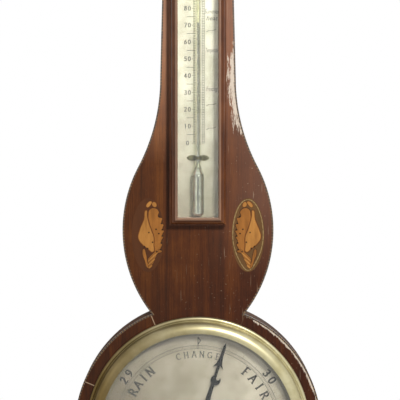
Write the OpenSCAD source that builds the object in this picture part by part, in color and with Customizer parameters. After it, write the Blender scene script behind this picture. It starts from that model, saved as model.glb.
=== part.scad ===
// A wheel barometer in a banjo-shaped case of veneered mahogany. A silvered
// dial lies under a hinged, glazed bezel, a thermometer box hangs above it, and
// a bent glass tube in the back of the case turns the hand through a float.
// Lengths are millimetres. The wall is the plane y = 0, the front faces -y, and
// the origin is the centre of the hole in the hanging plate.

/* [Case] */
// Thickness of the core board
core_t = 24; // [22.5:0.5:28]
// Thickness of the front veneer
veneer_t = 2; // [1.8:0.1:2.4]
// Width of the chequered stringing along the edge
stringing_w = 1.6; // [1:0.1:2.5]
// Wood left around the bezel
case_rim = 11.4; // [11.2:0.1:14]
// Height of the bulge's widest line above the dial's centre
bulge_z = 198.6; // [194:0.2:204]
// Half the bulge's width
bulge_half = 75.5; // [74:0.5:80]
// Radius of the bulge's round sides
bulge_r = 135; // [128:1:142]
// Radius of the hollow between bulge and neck
hollow_r = 190; // [180:1:200]
// Half the neck's width where the hollow ends
neck_low_half = 37.8; // [37:0.1:40]
// Half the neck's width at its narrowest
neck_half = 34.5; // [34:0.1:36]
// Height of the neck's narrowest line above the dial's centre
neck_z = 490; // [460:1:500]
// Half the width at the shoulders under the cornice
shoulder_half = 55; // [53:0.5:57]
// Height of the shoulders above the dial's centre
shoulder_z = 668; // [660:1:680]
// Reach of the tail below the dial's centre
tail_reach = 172; // [168:0.5:176]
// Radius of the round tail
tail_r = 36; // [34:0.5:38]
// Radius of the hollow between body and tail
tail_hollow_r = 14; // [12:0.5:16]
// Half the width of the core's upper plank between its side blocks
plank_half = 34; // [33:0.2:34.8]

/* [Inlays] */
// Thickness of the inlays
inlay_t = 0.8; // [0.5:0.1:1.2]
// Distance of a shell's centre from the middle
shell_x = 50; // [48:0.2:51]
// Height of the shells' centres above the dial's centre
shell_z = 193.6; // [190:0.2:198]
// Half the width of a shell
shell_half_w = 16.3; // [14:0.1:17]
// Half the height of a shell
shell_half_h = 36.8; // [32:0.1:38]
// Radius of the flower inlays
flower_r = 13; // [10:0.5:14]
// Height of the neck's flower above the dial's centre
flower_z = 600; // [570:1:620]

/* [Pediment] */
// Height of the cornice
cornice_h = 14; // [12:0.5:18]
// Overhang of the cornice
cornice_out = 8; // [8:0.5:10]
// Width of the swan necks' moulding
swan_w = 6; // [5:0.5:7]
// Depth of the swan necks' moulding
swan_t = 7.6; // [6:0.1:8]
// Distance of the swan necks' feet from the middle
swan_foot = 61; // [60.5:0.5:62]
// Radius of the swan necks' lower curve
swan_low_r = 20; // [18:0.5:21]
// Length of the swan necks' straight stretch
swan_straight = 24; // [22:0.5:25]
// Radius of the swan necks' upper curve
swan_top_r = 10; // [9:0.5:10.5]
// Half the width of the plinth between the swan necks
plinth_half = 8; // [7:0.5:8.5]
// Height of the plinth above the cornice
plinth_h = 34; // [28:0.5:38]
// Radius of the finial's ball
finial_ball_r = 8; // [7:0.5:9]
// Length of the finial's spire
finial_spire = 20; // [14:0.5:26]

/* [Hanging plate] */
// Thickness of the hanging plate
hanger_t = 2; // [1.5:0.1:2.2]
// Half the width of the hanging plate
hanger_half = 8; // [7:0.5:9]
// Radius of the hanging hole
hanger_hole_r = 4; // [3:0.1:5]
// Height of the hanging hole above the cornice
hanger_rise = 56; // [50:0.5:62]

/* [Dial and hand] */
// Radius of the dial plate
dial_r = 101.6; // [101:0.1:102.4]
// Thickness of the dial plate
dial_t = 1.5; // [1.2:0.1:1.7]
// Angle of the hand from the top at rest, clockwise
hand_rest = 18; // [0:1:60]
// Length of the hand from its axis to the tip
hand_reach = 90.5; // [84:0.5:94]
// Length of the hand's tail
hand_tail = 30; // [20:0.5:40]
// Thickness of the hand
hand_t = 0.7; // [0.5:0.1:1]
// Lift of the hand off the dial
hand_lift = 2.4; // [2.2:0.1:2.7]
// Length of the set hand
set_hand_reach = 78; // [60:1:88]

/* [Bezel] */
// Overlap of the bezel's lip on the dial
lip_cover = 4.6; // [4.4:0.1:6]
// Width of the bezel outside the dial
bezel_margin = 10.5; // [10:0.1:11.5]
// Radius of the bezel's large roll
roll_r = 8.5; // [8:0.1:8.8]
// Radius of the bezel's outer bead
bead_r = 1.9; // [1.5:0.1:2]
// Thickness of the bezel's glass
glass_t = 2; // [1.8:0.1:2.2]
// Height of the glass's front above the bezel's back
glass_rise = 8.7; // [8.6:0.1:9.2]
// Radius of the set hand's knob
knob_r = 5.5; // [4:0.5:8]

/* [Thermometer box] */
// Half the width of the box
box_half = 28; // [27:0.5:30]
// Height of the box's bottom above the dial's centre
box_z = 204.2; // [200:0.2:208]
// Height of the box
box_h = 312.8; // [300:0.2:320]
// Depth of the box
box_depth = 17.7; // [17.5:0.1:19]
// Width of the box's mouldings
moulding_w = 8; // [7.5:0.1:8.5]
// Thickness of the box's back
box_back_t = 1.5; // [1:0.1:1.8]
// Thickness of the scale plate
scale_t = 0.8; // [0.5:0.1:1]
// Thickness of the box's glass
pane_t = 1.2; // [1:0.1:1.4]
// Radius of the thermometer's tube
stem_r = 2.6; // [2:0.1:3]
// Radius of the thermometer's bulb
bulb_r = 6.1; // [5:0.1:6.2]
// Length of the thermometer's bulb
bulb_h = 52; // [40:0.5:56]
// Height of 0 degrees Fahrenheit above the dial's centre
zero_z = 285.6; // [280:0.2:292]
// Length of a degree Fahrenheit on the scale
degree = 1.68; // [1.5:0.01:1.75]
// Temperature shown, in degrees Fahrenheit
temperature = 71; // [40:1:110]

/* [Siphon tube] */
// Outer radius of the glass tube
tube_r = 4.75; // [4.5:0.05:5]
// Radius of the tube's bore
bore_r = 3.5; // [3.2:0.05:3.6]
// Distance of the long limb from the middle
long_x = 20; // [19.5:0.5:22]
// Depth of the tube's axis in front of the wall
tube_d = 14; // [13.5:0.1:14.5]
// Depth of the bend's centre below the dial's centre
bend_z = 118; // [116:0.5:122]
// Depth of the free mercury level below the dial's centre
level_z = 88; // [86:0.5:90]
// Height of the short limb's open end below the dial's centre
mouth_z = 42; // [38:0.5:48]
// Dial angle of one inch of mercury
inch_angle = 108; // [104:0.5:110]
// Length of the float and of its counterweight
float_h = 14; // [10:0.5:16]
// Radius of the float and of its counterweight
float_r = 3; // [2.4:0.1:3]

/* [Works] */
// Radius of the hand's arbor
arbor_r = 1.5; // [1.2:0.1:1.8]
// Distance between the pulley's two grooves
groove_step = 3; // [2.6:0.1:3.2]
// Thickness of the bridge
bridge_t = 2; // [1.5:0.1:2.2]
// Distance of the bridge's pillars from the arbor
pillar_z = 34; // [30:1:40]
// Half the width of the opening behind the dial
cavity_half = 46; // [44:0.5:48]
// Half the height of the opening behind the dial
cavity_rise = 80; // [76:0.5:82]

/* [Back door] */
// Half the width of the back door
door_half = 59.7; // [58:0.1:61]
// Half the height of the back door
door_rise = 91.7; // [90:0.1:93]
// Thickness of the back door
door_t = 3; // [2.5:0.1:3.4]
// Depth that the door lies in from the back of the case
door_sunk = 2.5; // [2.4:0.1:2.6]
// Thickness of the covers over the tube
cover_t = 3; // [2:0.1:4]

/* [Hidden] */
$fn = 96;

// Clearance between pieces of different bodies
gap = 0.3;
// Radial clearance of a shaft in its hole
fit = 0.05;
// Length by which a cut runs past a face
past = 1;
// Millimetres in an inch
inch = 25.4;

// Fastener sizes
screw_head_r = 2;
screw_r = 1;
screw_long = 8;
screw_rim = 0.2;
slot_w = 0.5;
slot_deep = 0.5;

// Radii and depths of the dial and the bezel, depths counted from the wall
case_t = core_t + veneer_t;
bezel_r = dial_r + bezel_margin;
body_r = bezel_r + case_rim;
lip_r = dial_r - lip_cover;
dial_front = core_t + dial_t;
bezel_back = case_t + gap;
glass_front = bezel_back + glass_rise;
glass_back = glass_front - glass_t;
seat_r = dial_r - 0.4;
roll_cx = lip_r + 2.5;
roll_d = bezel_back + 3.7;
hand_back = dial_front + hand_lift;
hand_front = hand_back + hand_t;
set_hand_front = glass_back - 0.9;
set_hand_back = set_hand_front - hand_t;
set_hand_eye = 18;
set_hand_ring = 21;
screw_ring_r = dial_r - screw_head_r - 0.4;
catch_x = dial_r + 4.9;
catch_r = 1.3;
catch_l = 5;

// Curves of the case's outline
bulge_cx = bulge_half - bulge_r;
hollow_cx = neck_low_half + hollow_r;
hollow_cz = bulge_z + sqrt(pow(bulge_r + hollow_r, 2) - pow(hollow_cx - bulge_cx, 2));
flare_rise = shoulder_z - neck_z;
flare_r = (pow(shoulder_half - neck_half, 2) + pow(flare_rise, 2)) / (2 * (shoulder_half - neck_half));
arc_step = 6;
arc_turn = 7.5;
tail_cz = tail_reach - tail_r;
tail_d1 = body_r + tail_hollow_r;
tail_d2 = tail_r + tail_hollow_r;
tail_fz = (pow(tail_d1, 2) - pow(tail_d2, 2) + pow(tail_cz, 2)) / (2 * tail_cz);
tail_fx = sqrt(pow(tail_d1, 2) - pow(tail_fz, 2));
body_block = body_r - 13.5;
bulge_block_low = body_block + 10;
bulge_block_high = bulge_z + 100;
shoulder_block_low = shoulder_z - 68;

// Pediment
cornice_z = shoulder_z + 2;
gable_z = cornice_z + cornice_h;
plateau_z = gable_z + 12;
hang_z = gable_z + hanger_rise;
swan_turn = 60;
swan_low = [swan_foot, gable_z + swan_w / 2 + swan_low_r];
swan_top = swan_low - (swan_low_r + swan_top_r) * [cos(90 - swan_turn), sin(90 - swan_turn)]
    + swan_straight * [cos(180 - swan_turn), sin(180 - swan_turn)];
swan_rim = swan_top_r + swan_w / 2;
swan_step = 0.8;
roundel_r = swan_top_r - swan_w / 2 - 0.1;
plinth_back = 6;
plinth_front = case_t + 7;
plinth_cap_h = 3;
plinth_lip = 1.4;
finial_d = (plinth_back + plinth_front) / 2;
finial_z = gable_z + plinth_h + plinth_cap_h;
dowel_r = 2;
dowel_l = 8;
hanger_low = 20;

// Mercury levels at rest and over the hand's travel
hand_stop = 162;
pitch_r = round(1000 * inch / 2 / (inch_angle * PI / 180)) / 1000;
reading = 29.5 + hand_rest / inch_angle;
fall = pitch_r * (hand_stop - hand_rest) * PI / 180;
climb = pitch_r * (hand_stop + hand_rest) * PI / 180;
head_z = reading * inch - level_z;
level_spare = 2;
lower_base = -level_z - fall - level_spare;
upper_base = head_z - climb - level_spare;
tube_top = head_z + fall + 18;
bend_r = (long_x + pitch_r) / 2;
bend_x = (pitch_r - long_x) / 2;
float_top = -level_z + gap + float_h;
weight_z = -76;
weight_d = tube_d - groove_step;

// Channel in the back of the case
channel_gap = 1.25;
channel_half = tube_r + channel_gap;
channel_deep = tube_d + tube_r + channel_gap;
channel_top = tube_top + 3;
well_low = -bend_z - bend_r - tube_r - 3;
cover_side = 5;
cork_h = 12;
cork_places = [300, 600];
cover_top = channel_top + 2;
cover_low = door_rise + gap;
cover_half = channel_half + cover_side;
well_cover_low = well_low - 4;
well_right = pitch_r + channel_half;

// Works behind the dial
thread_r = 0.3;
bush_r = 4;
bridge_back = 6.5;
bridge_front = bridge_back + bridge_t;
pivot_r = 1;
pillar_r = 3;
pulley_back = weight_d - 1.6;
pulley_front = tube_d + 1.6;
pulley_r = pitch_r + 1.2;

// Back door, its hinges and its button
door_out = door_sunk;
door_in = door_sunk + door_t;
hinge_line = door_half + gap / 2;
knuckle_r = 1.9;
knuckle_h = 8;
knuckle_d = knuckle_r + 0.4;
leaf_t = 0.8;
leaf_w = 13;
leaf_out = door_sunk - leaf_t;
hinge_places = [-60, 60];
door_pin_r = 0.8;
button_x = door_half + 9.3;
button_l = 14;
button_w = 8;
button_t = 1.8;
button_out = 0.4;
button_hole = 12;

// Places of the screws in the back: across, up and depth of the head
back_places = concat(
    [for (z = [gable_z - 12, gable_z + 4]) [0, z, 0]],
    [for (i = [0:3]) [-long_x + (i % 2 == 0 ? 1 : -1) * (channel_half + cover_side / 2),
        cover_low + 12 + i * (cover_top - cover_low - 24) / 3, 0]],
    [for (x = [-long_x - channel_half - cover_side / 2, well_right + cover_side / 2])
        [x, (well_low - cover_low) / 2, 0]],
    [for (z = hinge_places) for (s = [-1, 1])
        [hinge_line + leaf_w - 4, z + s * knuckle_h, leaf_out]]
);

// Hinge of the bezel
strap_r = 2.2;
strap_h = 8;
strap_x = bezel_r + 0.4 + strap_r;
strap_d = case_t + gap + strap_r;
strap_pin_r = 0.9;
plate_reach = 6.3;

// Thermometer box
box_d = case_t + gap;
box_top = box_z + box_h;
pane_half = box_half - moulding_w + 1.3;
pane_d = box_d + box_depth - 2.6;
scale_front = box_d + box_back_t + scale_t;
stem_d = scale_front + 0.2 + bulb_r;
stem_top = box_top - moulding_w - 8;
bulb_z = box_z + moulding_w + 1.2;
bulb_wall = 0.8;
bulb_round = 3.6;
bulb_shoulder = 14;
stem_bore = 1;
clip_z = bulb_z + bulb_h + 5.4;
clip_half = 11.6;
clip_t = 0.7;
clip_h = 2.9;
scale_places = [for (s = [-1, 1]) [s * (box_half - moulding_w - 4), box_top - moulding_w - 4]];
hook_places = [box_z + 42, box_top - 42];
hook_lift = 8;
hook_pin_r = 1;
hook_pin_d = 22.8;
hook_half = 4;
hook_deep = 19.8;

// Frames and general shapes

// Moves what is drawn about the dial's centre into the part's frame
module at_dial() {
    translate([0, 0, -hang_z]) children();
}

// A flat outline, as seen from the front, between two depths from the wall
module sheet(back, front) {
    translate([0, -back, 0]) rotate([90, 0, 0]) linear_extrude(front - back) children();
}

// A profile of radius and depth from the wall, turned about a level axis
module turned(x = 0, z = 0) {
    translate([x, 0, z]) rotate([90, 0, 0]) rotate_extrude() children();
}

// A plain turned length between two depths
module rod(r, back, front, x = 0, z = 0) {
    fine = r > 50 ? 360 : $fn;
    translate([x, -back, z]) rotate([90, 0, 0]) cylinder(r = r, h = front - back, $fn = fine);
}

// A rectangle centred on the middle line
module band(half, low, high, x = 0) {
    translate([x - half, low]) square([2 * half, high - low]);
}

// Places a piece that points away from the wall
module from_back(x, z, d) {
    translate([x, -d, z]) rotate([90, 0, 0]) children();
}

// Places a piece that points to the wall
module from_front(x, z, d) {
    translate([x, -d, z]) rotate([-90, 0, 0]) children();
}

// Both sides of the case, for solids and for flat shapes
module both_sides() {
    for (side = [0, 1]) mirror([side, 0, 0]) children();
}

module both_sides_flat() {
    for (side = [0, 1]) mirror([side, 0]) children();
}

// Half profile of a ball with a small flat on top
module ball_profile(r) {
    intersection() {
        circle(r = r);
        translate([0, -r]) square([r, 2 * r - 0.1]);
    }
}

// The space that a countersunk screw takes, its head at z = 0
module screw_hole(length) {
    sink = screw_head_r - screw_r + screw_rim;
    rotate_extrude() polygon([
        [0, -past], [screw_head_r, -past], [screw_head_r, screw_rim],
        [screw_r, sink], [screw_r, length], [0, length]
    ]);
}

module screw(length) {
    difference() {
        screw_hole(length);
        translate([-screw_head_r - past, -screw_head_r - past, -2 * past])
            cube([2 * screw_head_r + 2 * past, 2 * screw_head_r + 2 * past, 2 * past]);
        translate([-screw_head_r - past, -slot_w / 2, -past])
            cube([2 * screw_head_r + 2 * past, slot_w, past + slot_deep]);
    }
}

// Outlines of the case

// A point on a circle
function at(centre, r, angle) = centre + r * [cos(angle), sin(angle)];

// Points along an arc after its first point, at most arc_step and arc_turn apart
function arc(centre, r, from, to) =
    let (sweep = abs(to - from))
    let (steps = ceil(max(sweep / arc_turn, sweep * PI / 180 * r / arc_step)))
    [for (i = [1:steps]) at(centre, r, from + (to - from) * i / steps)];

function heading(v) = atan2(v[1], v[0]);

// A closed outline from its right half, whose points run upwards
function mirrored(half) = concat(
    half, [for (i = [len(half) - 1:-1:0]) if (half[i][0] > 0) [-half[i][0], half[i][1]]]
);

// Right half of the case from its tail to the shoulders, drawn in from its edge by inset
function case_half(inset) =
    let (lobe = [0, -tail_cz], waist = [tail_fx, -tail_fz], body = body_r - inset)
    let (bulge = [bulge_cx, bulge_z], round = bulge_r - inset, apart = norm(bulge))
    let (hollow = [hollow_cx, hollow_cz], flare = flare_r + inset)
    let (corner = heading(bulge)
        - acos((pow(body, 2) + pow(apart, 2) - pow(round, 2)) / (2 * body * apart)))
    let (waist_turn = heading(waist - lobe), bulge_turn = heading(hollow - bulge))
    concat(
        [[0, inset - tail_reach]],
        arc(lobe, tail_r - inset, -90, waist_turn),
        arc(waist, tail_hollow_r + inset, waist_turn + 180, heading(-waist)),
        arc([0, 0], body, heading(waist), corner),
        arc(bulge, round, heading(at([0, 0], body, corner) - bulge), bulge_turn),
        arc(hollow, hollow_r + inset, bulge_turn + 180, 180),
        [[neck_half - inset, neck_z]],
        arc([neck_half + flare_r, neck_z], flare, 180, 180 - asin(flare_rise / flare))
    );

// The case up to its shoulders
module outline(inset) {
    polygon(mirrored(case_half(inset)));
}

// The board above the shoulders, up to the swan necks' upper edge
module gable() {
    foot_r = swan_low_r - swan_w / 2;
    foot_turn = -180 + acos((swan_low[0] - shoulder_half) / foot_r);
    polygon(mirrored(concat(
        [[shoulder_half, shoulder_z], at(swan_low, foot_r, foot_turn)],
        arc(swan_low, foot_r, foot_turn, -90 - swan_turn),
        [at(swan_top, swan_rim, 90 - swan_turn)],
        arc(swan_top, swan_rim, 90 - swan_turn, 180),
        [[swan_top[0] - swan_rim, plateau_z]]
    )));
}

module shell_oval() {
    polygon([for (a = [0:5:355]) [shell_half_w * cos(a), shell_half_h * sin(a)]]);
}

// Cuts that the board, the veneer and the mountings share

module hook_pockets() {
    for (z = hook_places) {
        low = z - hook_half - 2;
        high = z + 14 + hook_lift;
        sheet(hook_deep, case_t + past) band(hook_half + 1, low, high);
        hook_pin(z);
    }
}

module hook_pin(z) {
    reach = hook_half + 4;
    translate([-reach, -hook_pin_d, z]) rotate([0, 90, 0]) cylinder(r = hook_pin_r, h = 2 * reach);
}

module catch_hole() {
    rod(catch_r + 2 * gap, bezel_back - catch_l - 1, case_t + past, -catch_x);
}

module front_screw_holes() {
    for (a = [45:90:315])
        from_front(screw_ring_r * cos(a), screw_ring_r * sin(a), dial_front) screw_hole(screw_long);
    for (z = [-strap_h, strap_h])
        from_front(strap_x + 3.9, z, case_t + leaf_t) screw_hole(screw_long);
}

module back_screw_holes() {
    for (p = back_places) from_back(p[0], p[1], p[2]) screw_hole(screw_long);
}

// Case

module core_outline() {
    outline(0);
    gable();
}

// The blocks beside the planks, at the body, the bulge and the shoulders
module side_blocks() {
    both_sides_flat() {
        translate([cavity_half, -body_block]) square([body_r, 2 * body_block]);
        translate([plank_half, bulge_block_low])
            square([body_r, bulge_block_high - bulge_block_low]);
        translate([plank_half, shoulder_block_low]) square([body_r, hang_z - shoulder_block_low]);
    }
}

// Everything that is cut from the core, mostly from its back
module core_cuts() {
    sheet(-past, core_t + past) band(cavity_half, -cavity_rise, cavity_rise);
    sheet(-past, door_in) band(door_half + gap, -door_rise - gap, door_rise + gap);
    sheet(-past, channel_deep) {
        band(channel_half, cavity_rise - past, channel_top, -long_x);
        translate([-long_x - channel_half, well_low])
            square([long_x + channel_half + well_right, -cavity_rise + past - well_low]);
    }
    sheet(-past, cover_t) {
        band(cover_half, door_rise, cover_top, -long_x);
        translate([-long_x - cover_half, well_cover_low])
            square([long_x + cover_half + well_right + cover_side, -door_rise - well_cover_low]);
    }
    sheet(-past, hanger_t) band(hanger_half, gable_z - hanger_low, plateau_z + past);
    for (z = hinge_places) {
        sheet(-past, knuckle_d + knuckle_r + gap)
            band(knuckle_r + gap, z - 1.5 * knuckle_h - gap, z + 1.5 * knuckle_h + gap, hinge_line);
        translate([hinge_line, past, z - 1.5 * knuckle_h])
            mirror([0, 1, 0]) cube([leaf_w, door_sunk + past, 3 * knuckle_h]);
    }
    rod(button_l + 2 * gap, -past, door_sunk, -button_x);
    rod(screw_r, 0, button_hole, -button_x);
    catch_hole();
    hook_pockets();
    front_screw_holes();
    back_screw_holes();
}

module core_planks() {
    color("saddlebrown") at_dial() difference() {
        sheet(0, core_t) difference() {
            core_outline();
            side_blocks();
        }
        core_cuts();
    }
}

module core_blocks() {
    color("sienna") at_dial() difference() {
        sheet(0, core_t) intersection() {
            core_outline();
            side_blocks();
        }
        core_cuts();
    }
}

module front_veneer() {
    color("brown") at_dial() difference() {
        sheet(core_t, case_t) {
            outline(stringing_w);
            gable();
        }
        rod(dial_r + gap, core_t - past, case_t + past);
        both_sides() translate([shell_x, 0, shell_z]) sheet(case_t - inlay_t, case_t + past) shell_oval();
        for (z = [flower_z, -tail_cz]) rod(flower_r, case_t - inlay_t, case_t + past, 0, z);
        catch_hole();
        hook_pockets();
        front_screw_holes();
    }
}

module edge_stringing() {
    color("wheat") at_dial() sheet(core_t, case_t) difference() {
        outline(0);
        outline(stringing_w);
    }
}

module shell_inlay(side) {
    color("goldenrod") at_dial() translate([side * shell_x, 0, shell_z])
        sheet(case_t - inlay_t, case_t) shell_oval();
}

module flower_inlays() {
    color("goldenrod") at_dial() for (z = [flower_z, -tail_cz])
        rod(flower_r, case_t - inlay_t, case_t, 0, z);
}

// Profile of the cornice, from its middle line out to base plus its overhang
module cornice_profile(base) {
    cove = cornice_out - 2.1;
    difference() {
        union() {
            square([base + 1.5, cornice_h]);
            translate([0, cornice_h - 4 - cove]) square([base + 1.5 + cove, cove]);
            translate([0, cornice_h - 4]) square([base + cornice_out, 4]);
        }
        translate([base + 1.5 + cove, cornice_h - 4 - cove]) circle(r = cove);
    }
}

// The front view of the moulding meets its side view in a mitre at each corner
module cornice() {
    wide = shoulder_half + cornice_out + past;
    deep = case_t + cornice_out + past;
    color("brown") at_dial() translate([0, 0, cornice_z]) difference() {
        intersection() {
            both_sides() rotate([90, 0, 0]) linear_extrude(deep) cornice_profile(shoulder_half);
            translate([-wide, 0, 0]) rotate([90, 0, 90]) linear_extrude(2 * wide)
                mirror([1, 0]) cornice_profile(case_t);
        }
        translate([-shoulder_half, -case_t, -past])
            cube([2 * shoulder_half, case_t + past, cornice_h + 2 * past]);
    }
}

// Section of the swan necks' moulding: across its path, and out from the wall
function swan_section() =
    let (bead = swan_w / 2 - swan_step, crest = case_t + swan_t - bead)
    concat(
        [[-swan_w / 2, case_t], [swan_w / 2, case_t], [swan_w / 2, crest], [bead, crest]],
        [for (a = [22.5:22.5:157.5]) [bead * cos(a), crest + bead * sin(a)]],
        [[-bead, crest], [-swan_w / 2, crest]]
    );

// The moulding's path from its foot to its eye: a point, and the angle that its width points to
function swan_path() = concat(
    [for (a = [0:arc_turn:swan_turn]) [at(swan_low, swan_low_r, -90 - a), 90 - a]],
    [for (a = [0:arc_turn:90 + swan_turn])
        [at(swan_top, swan_top_r, 90 - swan_turn + a), 90 - swan_turn + a]]
);

module swan_neck(side) {
    section = swan_section();
    path = swan_path();
    n = len(section);
    last = len(path) - 1;
    color("saddlebrown") at_dial() mirror([side < 0 ? 1 : 0, 0, 0]) polyhedron(
        points = [for (p = path) for (s = section)
            [p[0][0] + s[0] * cos(p[1]), -s[1], p[0][1] + s[0] * sin(p[1])]],
        faces = concat(
            [concat(0, [for (k = [n - 1:-1:1]) k]), [for (k = [0:n - 1]) last * n + k]],
            [for (i = [0:last - 1]) for (k = [0:n - 1])
                [i * n + k, i * n + (k + 1) % n, (i + 1) * n + (k + 1) % n, (i + 1) * n + k]]
        )
    );
}

module roundels() {
    rise = 6;
    dome = (pow(rise, 2) + pow(roundel_r, 2)) / (2 * rise);
    color("saddlebrown") at_dial() both_sides() turned(swan_top[0], swan_top[1]) {
        translate([0, case_t]) square([roundel_r, 1.5]);
        intersection() {
            translate([0, case_t + 1.5]) square([roundel_r - 0.8, rise]);
            translate([0, case_t + rise - dome]) circle(r = dome);
        }
        translate([0, case_t + rise - 0.6]) ball_profile(1.8);
    }
}

module plinth() {
    cap = plinth_half + plinth_lip;
    top = gable_z + plinth_h;
    color("saddlebrown") at_dial() difference() {
        union() {
            sheet(case_t, plinth_front) band(plinth_half, gable_z, top);
            sheet(plinth_back, plinth_front) band(plinth_half, plateau_z, top);
            sheet(plinth_back - plinth_lip, plinth_front + plinth_lip) band(cap, top, top + plinth_cap_h);
        }
        translate([0, -finial_d, finial_z - dowel_l]) cylinder(r = dowel_r, h = dowel_l + past);
    }
}

module finial() {
    foot_h = 3;
    ball_z = foot_h + 6 + finial_ball_r;
    collar_z = ball_z + finial_ball_r;
    tip_z = collar_z + 3 + finial_spire;
    color("goldenrod") at_dial() translate([0, -finial_d, finial_z]) rotate_extrude() {
        translate([0, -dowel_l]) square([dowel_r, dowel_l]);
        square([finial_ball_r - 1, foot_h - 1]);
        square([finial_ball_r - 2.5, foot_h]);
        square([2.4, collar_z + 2]);
        intersection() {
            translate([0, ball_z]) circle(r = finial_ball_r);
            translate([0, foot_h]) square([finial_ball_r, 3 * finial_ball_r]);
        }
        translate([0, collar_z]) square([4.2, 2]);
        polygon([
            [0, collar_z + 2], [3, collar_z + 2], [1.5, collar_z + 8],
            [0.8, tip_z], [0, tip_z]
        ]);
        translate([0, tip_z]) ball_profile(1.7);
    }
}

module hanging_plate() {
    color("gold") at_dial() difference() {
        union() {
            sheet(0, hanger_t) band(hanger_half, gable_z - hanger_low, hang_z);
            rod(hanger_half, 0, hanger_t, 0, hang_z);
        }
        rod(hanger_hole_r, -past, hanger_t + past, 0, hang_z);
        back_screw_holes();
    }
}

module tube_covers() {
    color("tan") at_dial() difference() {
        sheet(0, cover_t) {
            band(cover_half, cover_low, cover_top, -long_x);
            translate([-long_x - cover_half, well_cover_low])
                square([long_x + cover_half + well_right + cover_side, -cover_low - well_cover_low]);
        }
        back_screw_holes();
    }
}

// The screws of the plate, the covers and the hinges, and the button's pivot screw
module back_screws() {
    color("gold") at_dial() {
        for (p = back_places) from_back(p[0], p[1], p[2]) screw(screw_long);
        button_screw();
    }
}

module button_screw() {
    difference() {
        union() {
            rod(3, 0.1, button_out + 0.85, -button_x);
            rod(screw_r, button_out + 0.85, button_hole, -button_x);
        }
        translate([-button_x - 4, -0.5, -slot_w / 2]) cube([8, 0.5 + past, slot_w]);
    }
}

// Tube and mercury

// The bent tube's space at a radius, up to a height in each limb
module siphon(r, top, low_end) {
    translate([-long_x, -tube_d, -bend_z]) cylinder(r = r, h = top + bend_z);
    translate([pitch_r, -tube_d, -bend_z]) cylinder(r = r, h = low_end + bend_z);
    translate([bend_x, -tube_d, -bend_z]) rotate([90, 0, 0]) rotate([0, 0, 180])
        rotate_extrude(angle = 180) translate([bend_r, 0]) circle(r = r);
}

module sealed_end() {
    translate([-long_x, -tube_d, tube_top - tube_r]) rotate_extrude() children();
}

module siphon_tube() {
    color("lightcyan", 0.4) at_dial() difference() {
        union() {
            siphon(tube_r, tube_top - tube_r, -mouth_z);
            sealed_end() ball_profile(tube_r);
        }
        siphon(bore_r, tube_top - tube_r, -mouth_z + past);
        sealed_end() ball_profile(bore_r);
    }
}

module mercury_column() {
    color("silver") at_dial() siphon(bore_r, upper_base, lower_base);
}

module lower_mercury() {
    color("silver") at_dial() translate([pitch_r, -tube_d, lower_base])
        cylinder(r = bore_r, h = -level_z - lower_base);
}

module upper_mercury() {
    color("silver") at_dial() translate([-long_x, -tube_d, upper_base])
        cylinder(r = bore_r, h = head_z - upper_base);
}

module tube_corks() {
    color("peru") at_dial() difference() {
        union() {
            sheet(cover_t, channel_deep) for (z = cork_places) band(channel_half, z, z + cork_h, -long_x);
            sheet(cover_t, channel_deep) translate([-long_x - channel_half, -bend_z])
                square([long_x + channel_half + well_right, cork_h]);
        }
        siphon(tube_r, tube_top - tube_r, -mouth_z);
    }
}

// Dial and works

module dial_plate() {
    color("gainsboro") at_dial() difference() {
        rod(dial_r, core_t, dial_front);
        rod(bush_r, core_t - past, dial_front + past);
        front_screw_holes();
    }
}

module front_screws() {
    color("gold") at_dial() {
        for (a = [45:90:315])
            from_front(screw_ring_r * cos(a), screw_ring_r * sin(a), dial_front) screw(screw_long);
        for (z = [-strap_h, strap_h])
            from_front(strap_x + 3.9, z, case_t + leaf_t) screw(screw_long);
    }
}

module dial_bush() {
    color("gold") at_dial() difference() {
        union() {
            rod(bush_r, core_t - 3, dial_front);
            rod(bush_r + 2, dial_front, dial_front + 0.8);
        }
        rod(arbor_r + fit, core_t - 4, dial_front + 2);
    }
}

module bridge() {
    color("gold") at_dial() difference() {
        union() {
            sheet(bridge_back, bridge_front) band(4, -pillar_z, pillar_z);
            for (z = [-pillar_z, pillar_z]) rod(4, bridge_back, bridge_front, 0, z);
        }
        rod(pivot_r + fit, bridge_back - past, bridge_front + past);
        for (z = [-pillar_z, pillar_z]) from_back(0, z, bridge_back) screw_hole(screw_long);
    }
}

module bridge_pillars() {
    color("gold") at_dial() for (z = [-pillar_z, pillar_z]) difference() {
        rod(pillar_r, bridge_front, core_t, 0, z);
        from_back(0, z, bridge_back) screw_hole(screw_long);
    }
}

module bridge_screws() {
    color("slategray") at_dial() for (z = [-pillar_z, pillar_z])
        from_back(0, z, bridge_back) screw(screw_long);
}

module arbor() {
    color("slategray") at_dial() {
        rod(pivot_r, bridge_back - 0.2, bridge_front + 0.4);
        rod(arbor_r, bridge_front + 0.4, hand_front + 1.6);
    }
}

module pulley() {
    color("gold") at_dial() difference() {
        turned() difference() {
            translate([0, pulley_back]) square([pulley_r, pulley_front - pulley_back]);
            for (d = [weight_d, tube_d]) polygon([
                [pitch_r - thread_r - fit, d - thread_r], [pulley_r + fit, d - 3 * thread_r],
                [pulley_r + fit, d + 3 * thread_r], [pitch_r - thread_r - fit, d + thread_r]
            ]);
        }
        rod(arbor_r, pulley_back - past, pulley_front + past);
    }
}

module weight(x, d, low) {
    translate([x, -d, low]) cylinder(r = float_r, h = float_h);
}

module thread(x, d, low) {
    translate([x, -d, low]) cylinder(r = thread_r, h = -low);
}

module float_weight() {
    color("dimgray") at_dial() weight(pitch_r, tube_d, -level_z + gap);
}

module float_thread() {
    color("ivory") at_dial() thread(pitch_r, tube_d, float_top);
}

module counterweight() {
    color("dimgray") at_dial() weight(-pitch_r, weight_d, weight_z);
}

module counterweight_thread() {
    color("ivory") at_dial() thread(-pitch_r, weight_d, weight_z + float_h);
}

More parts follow.
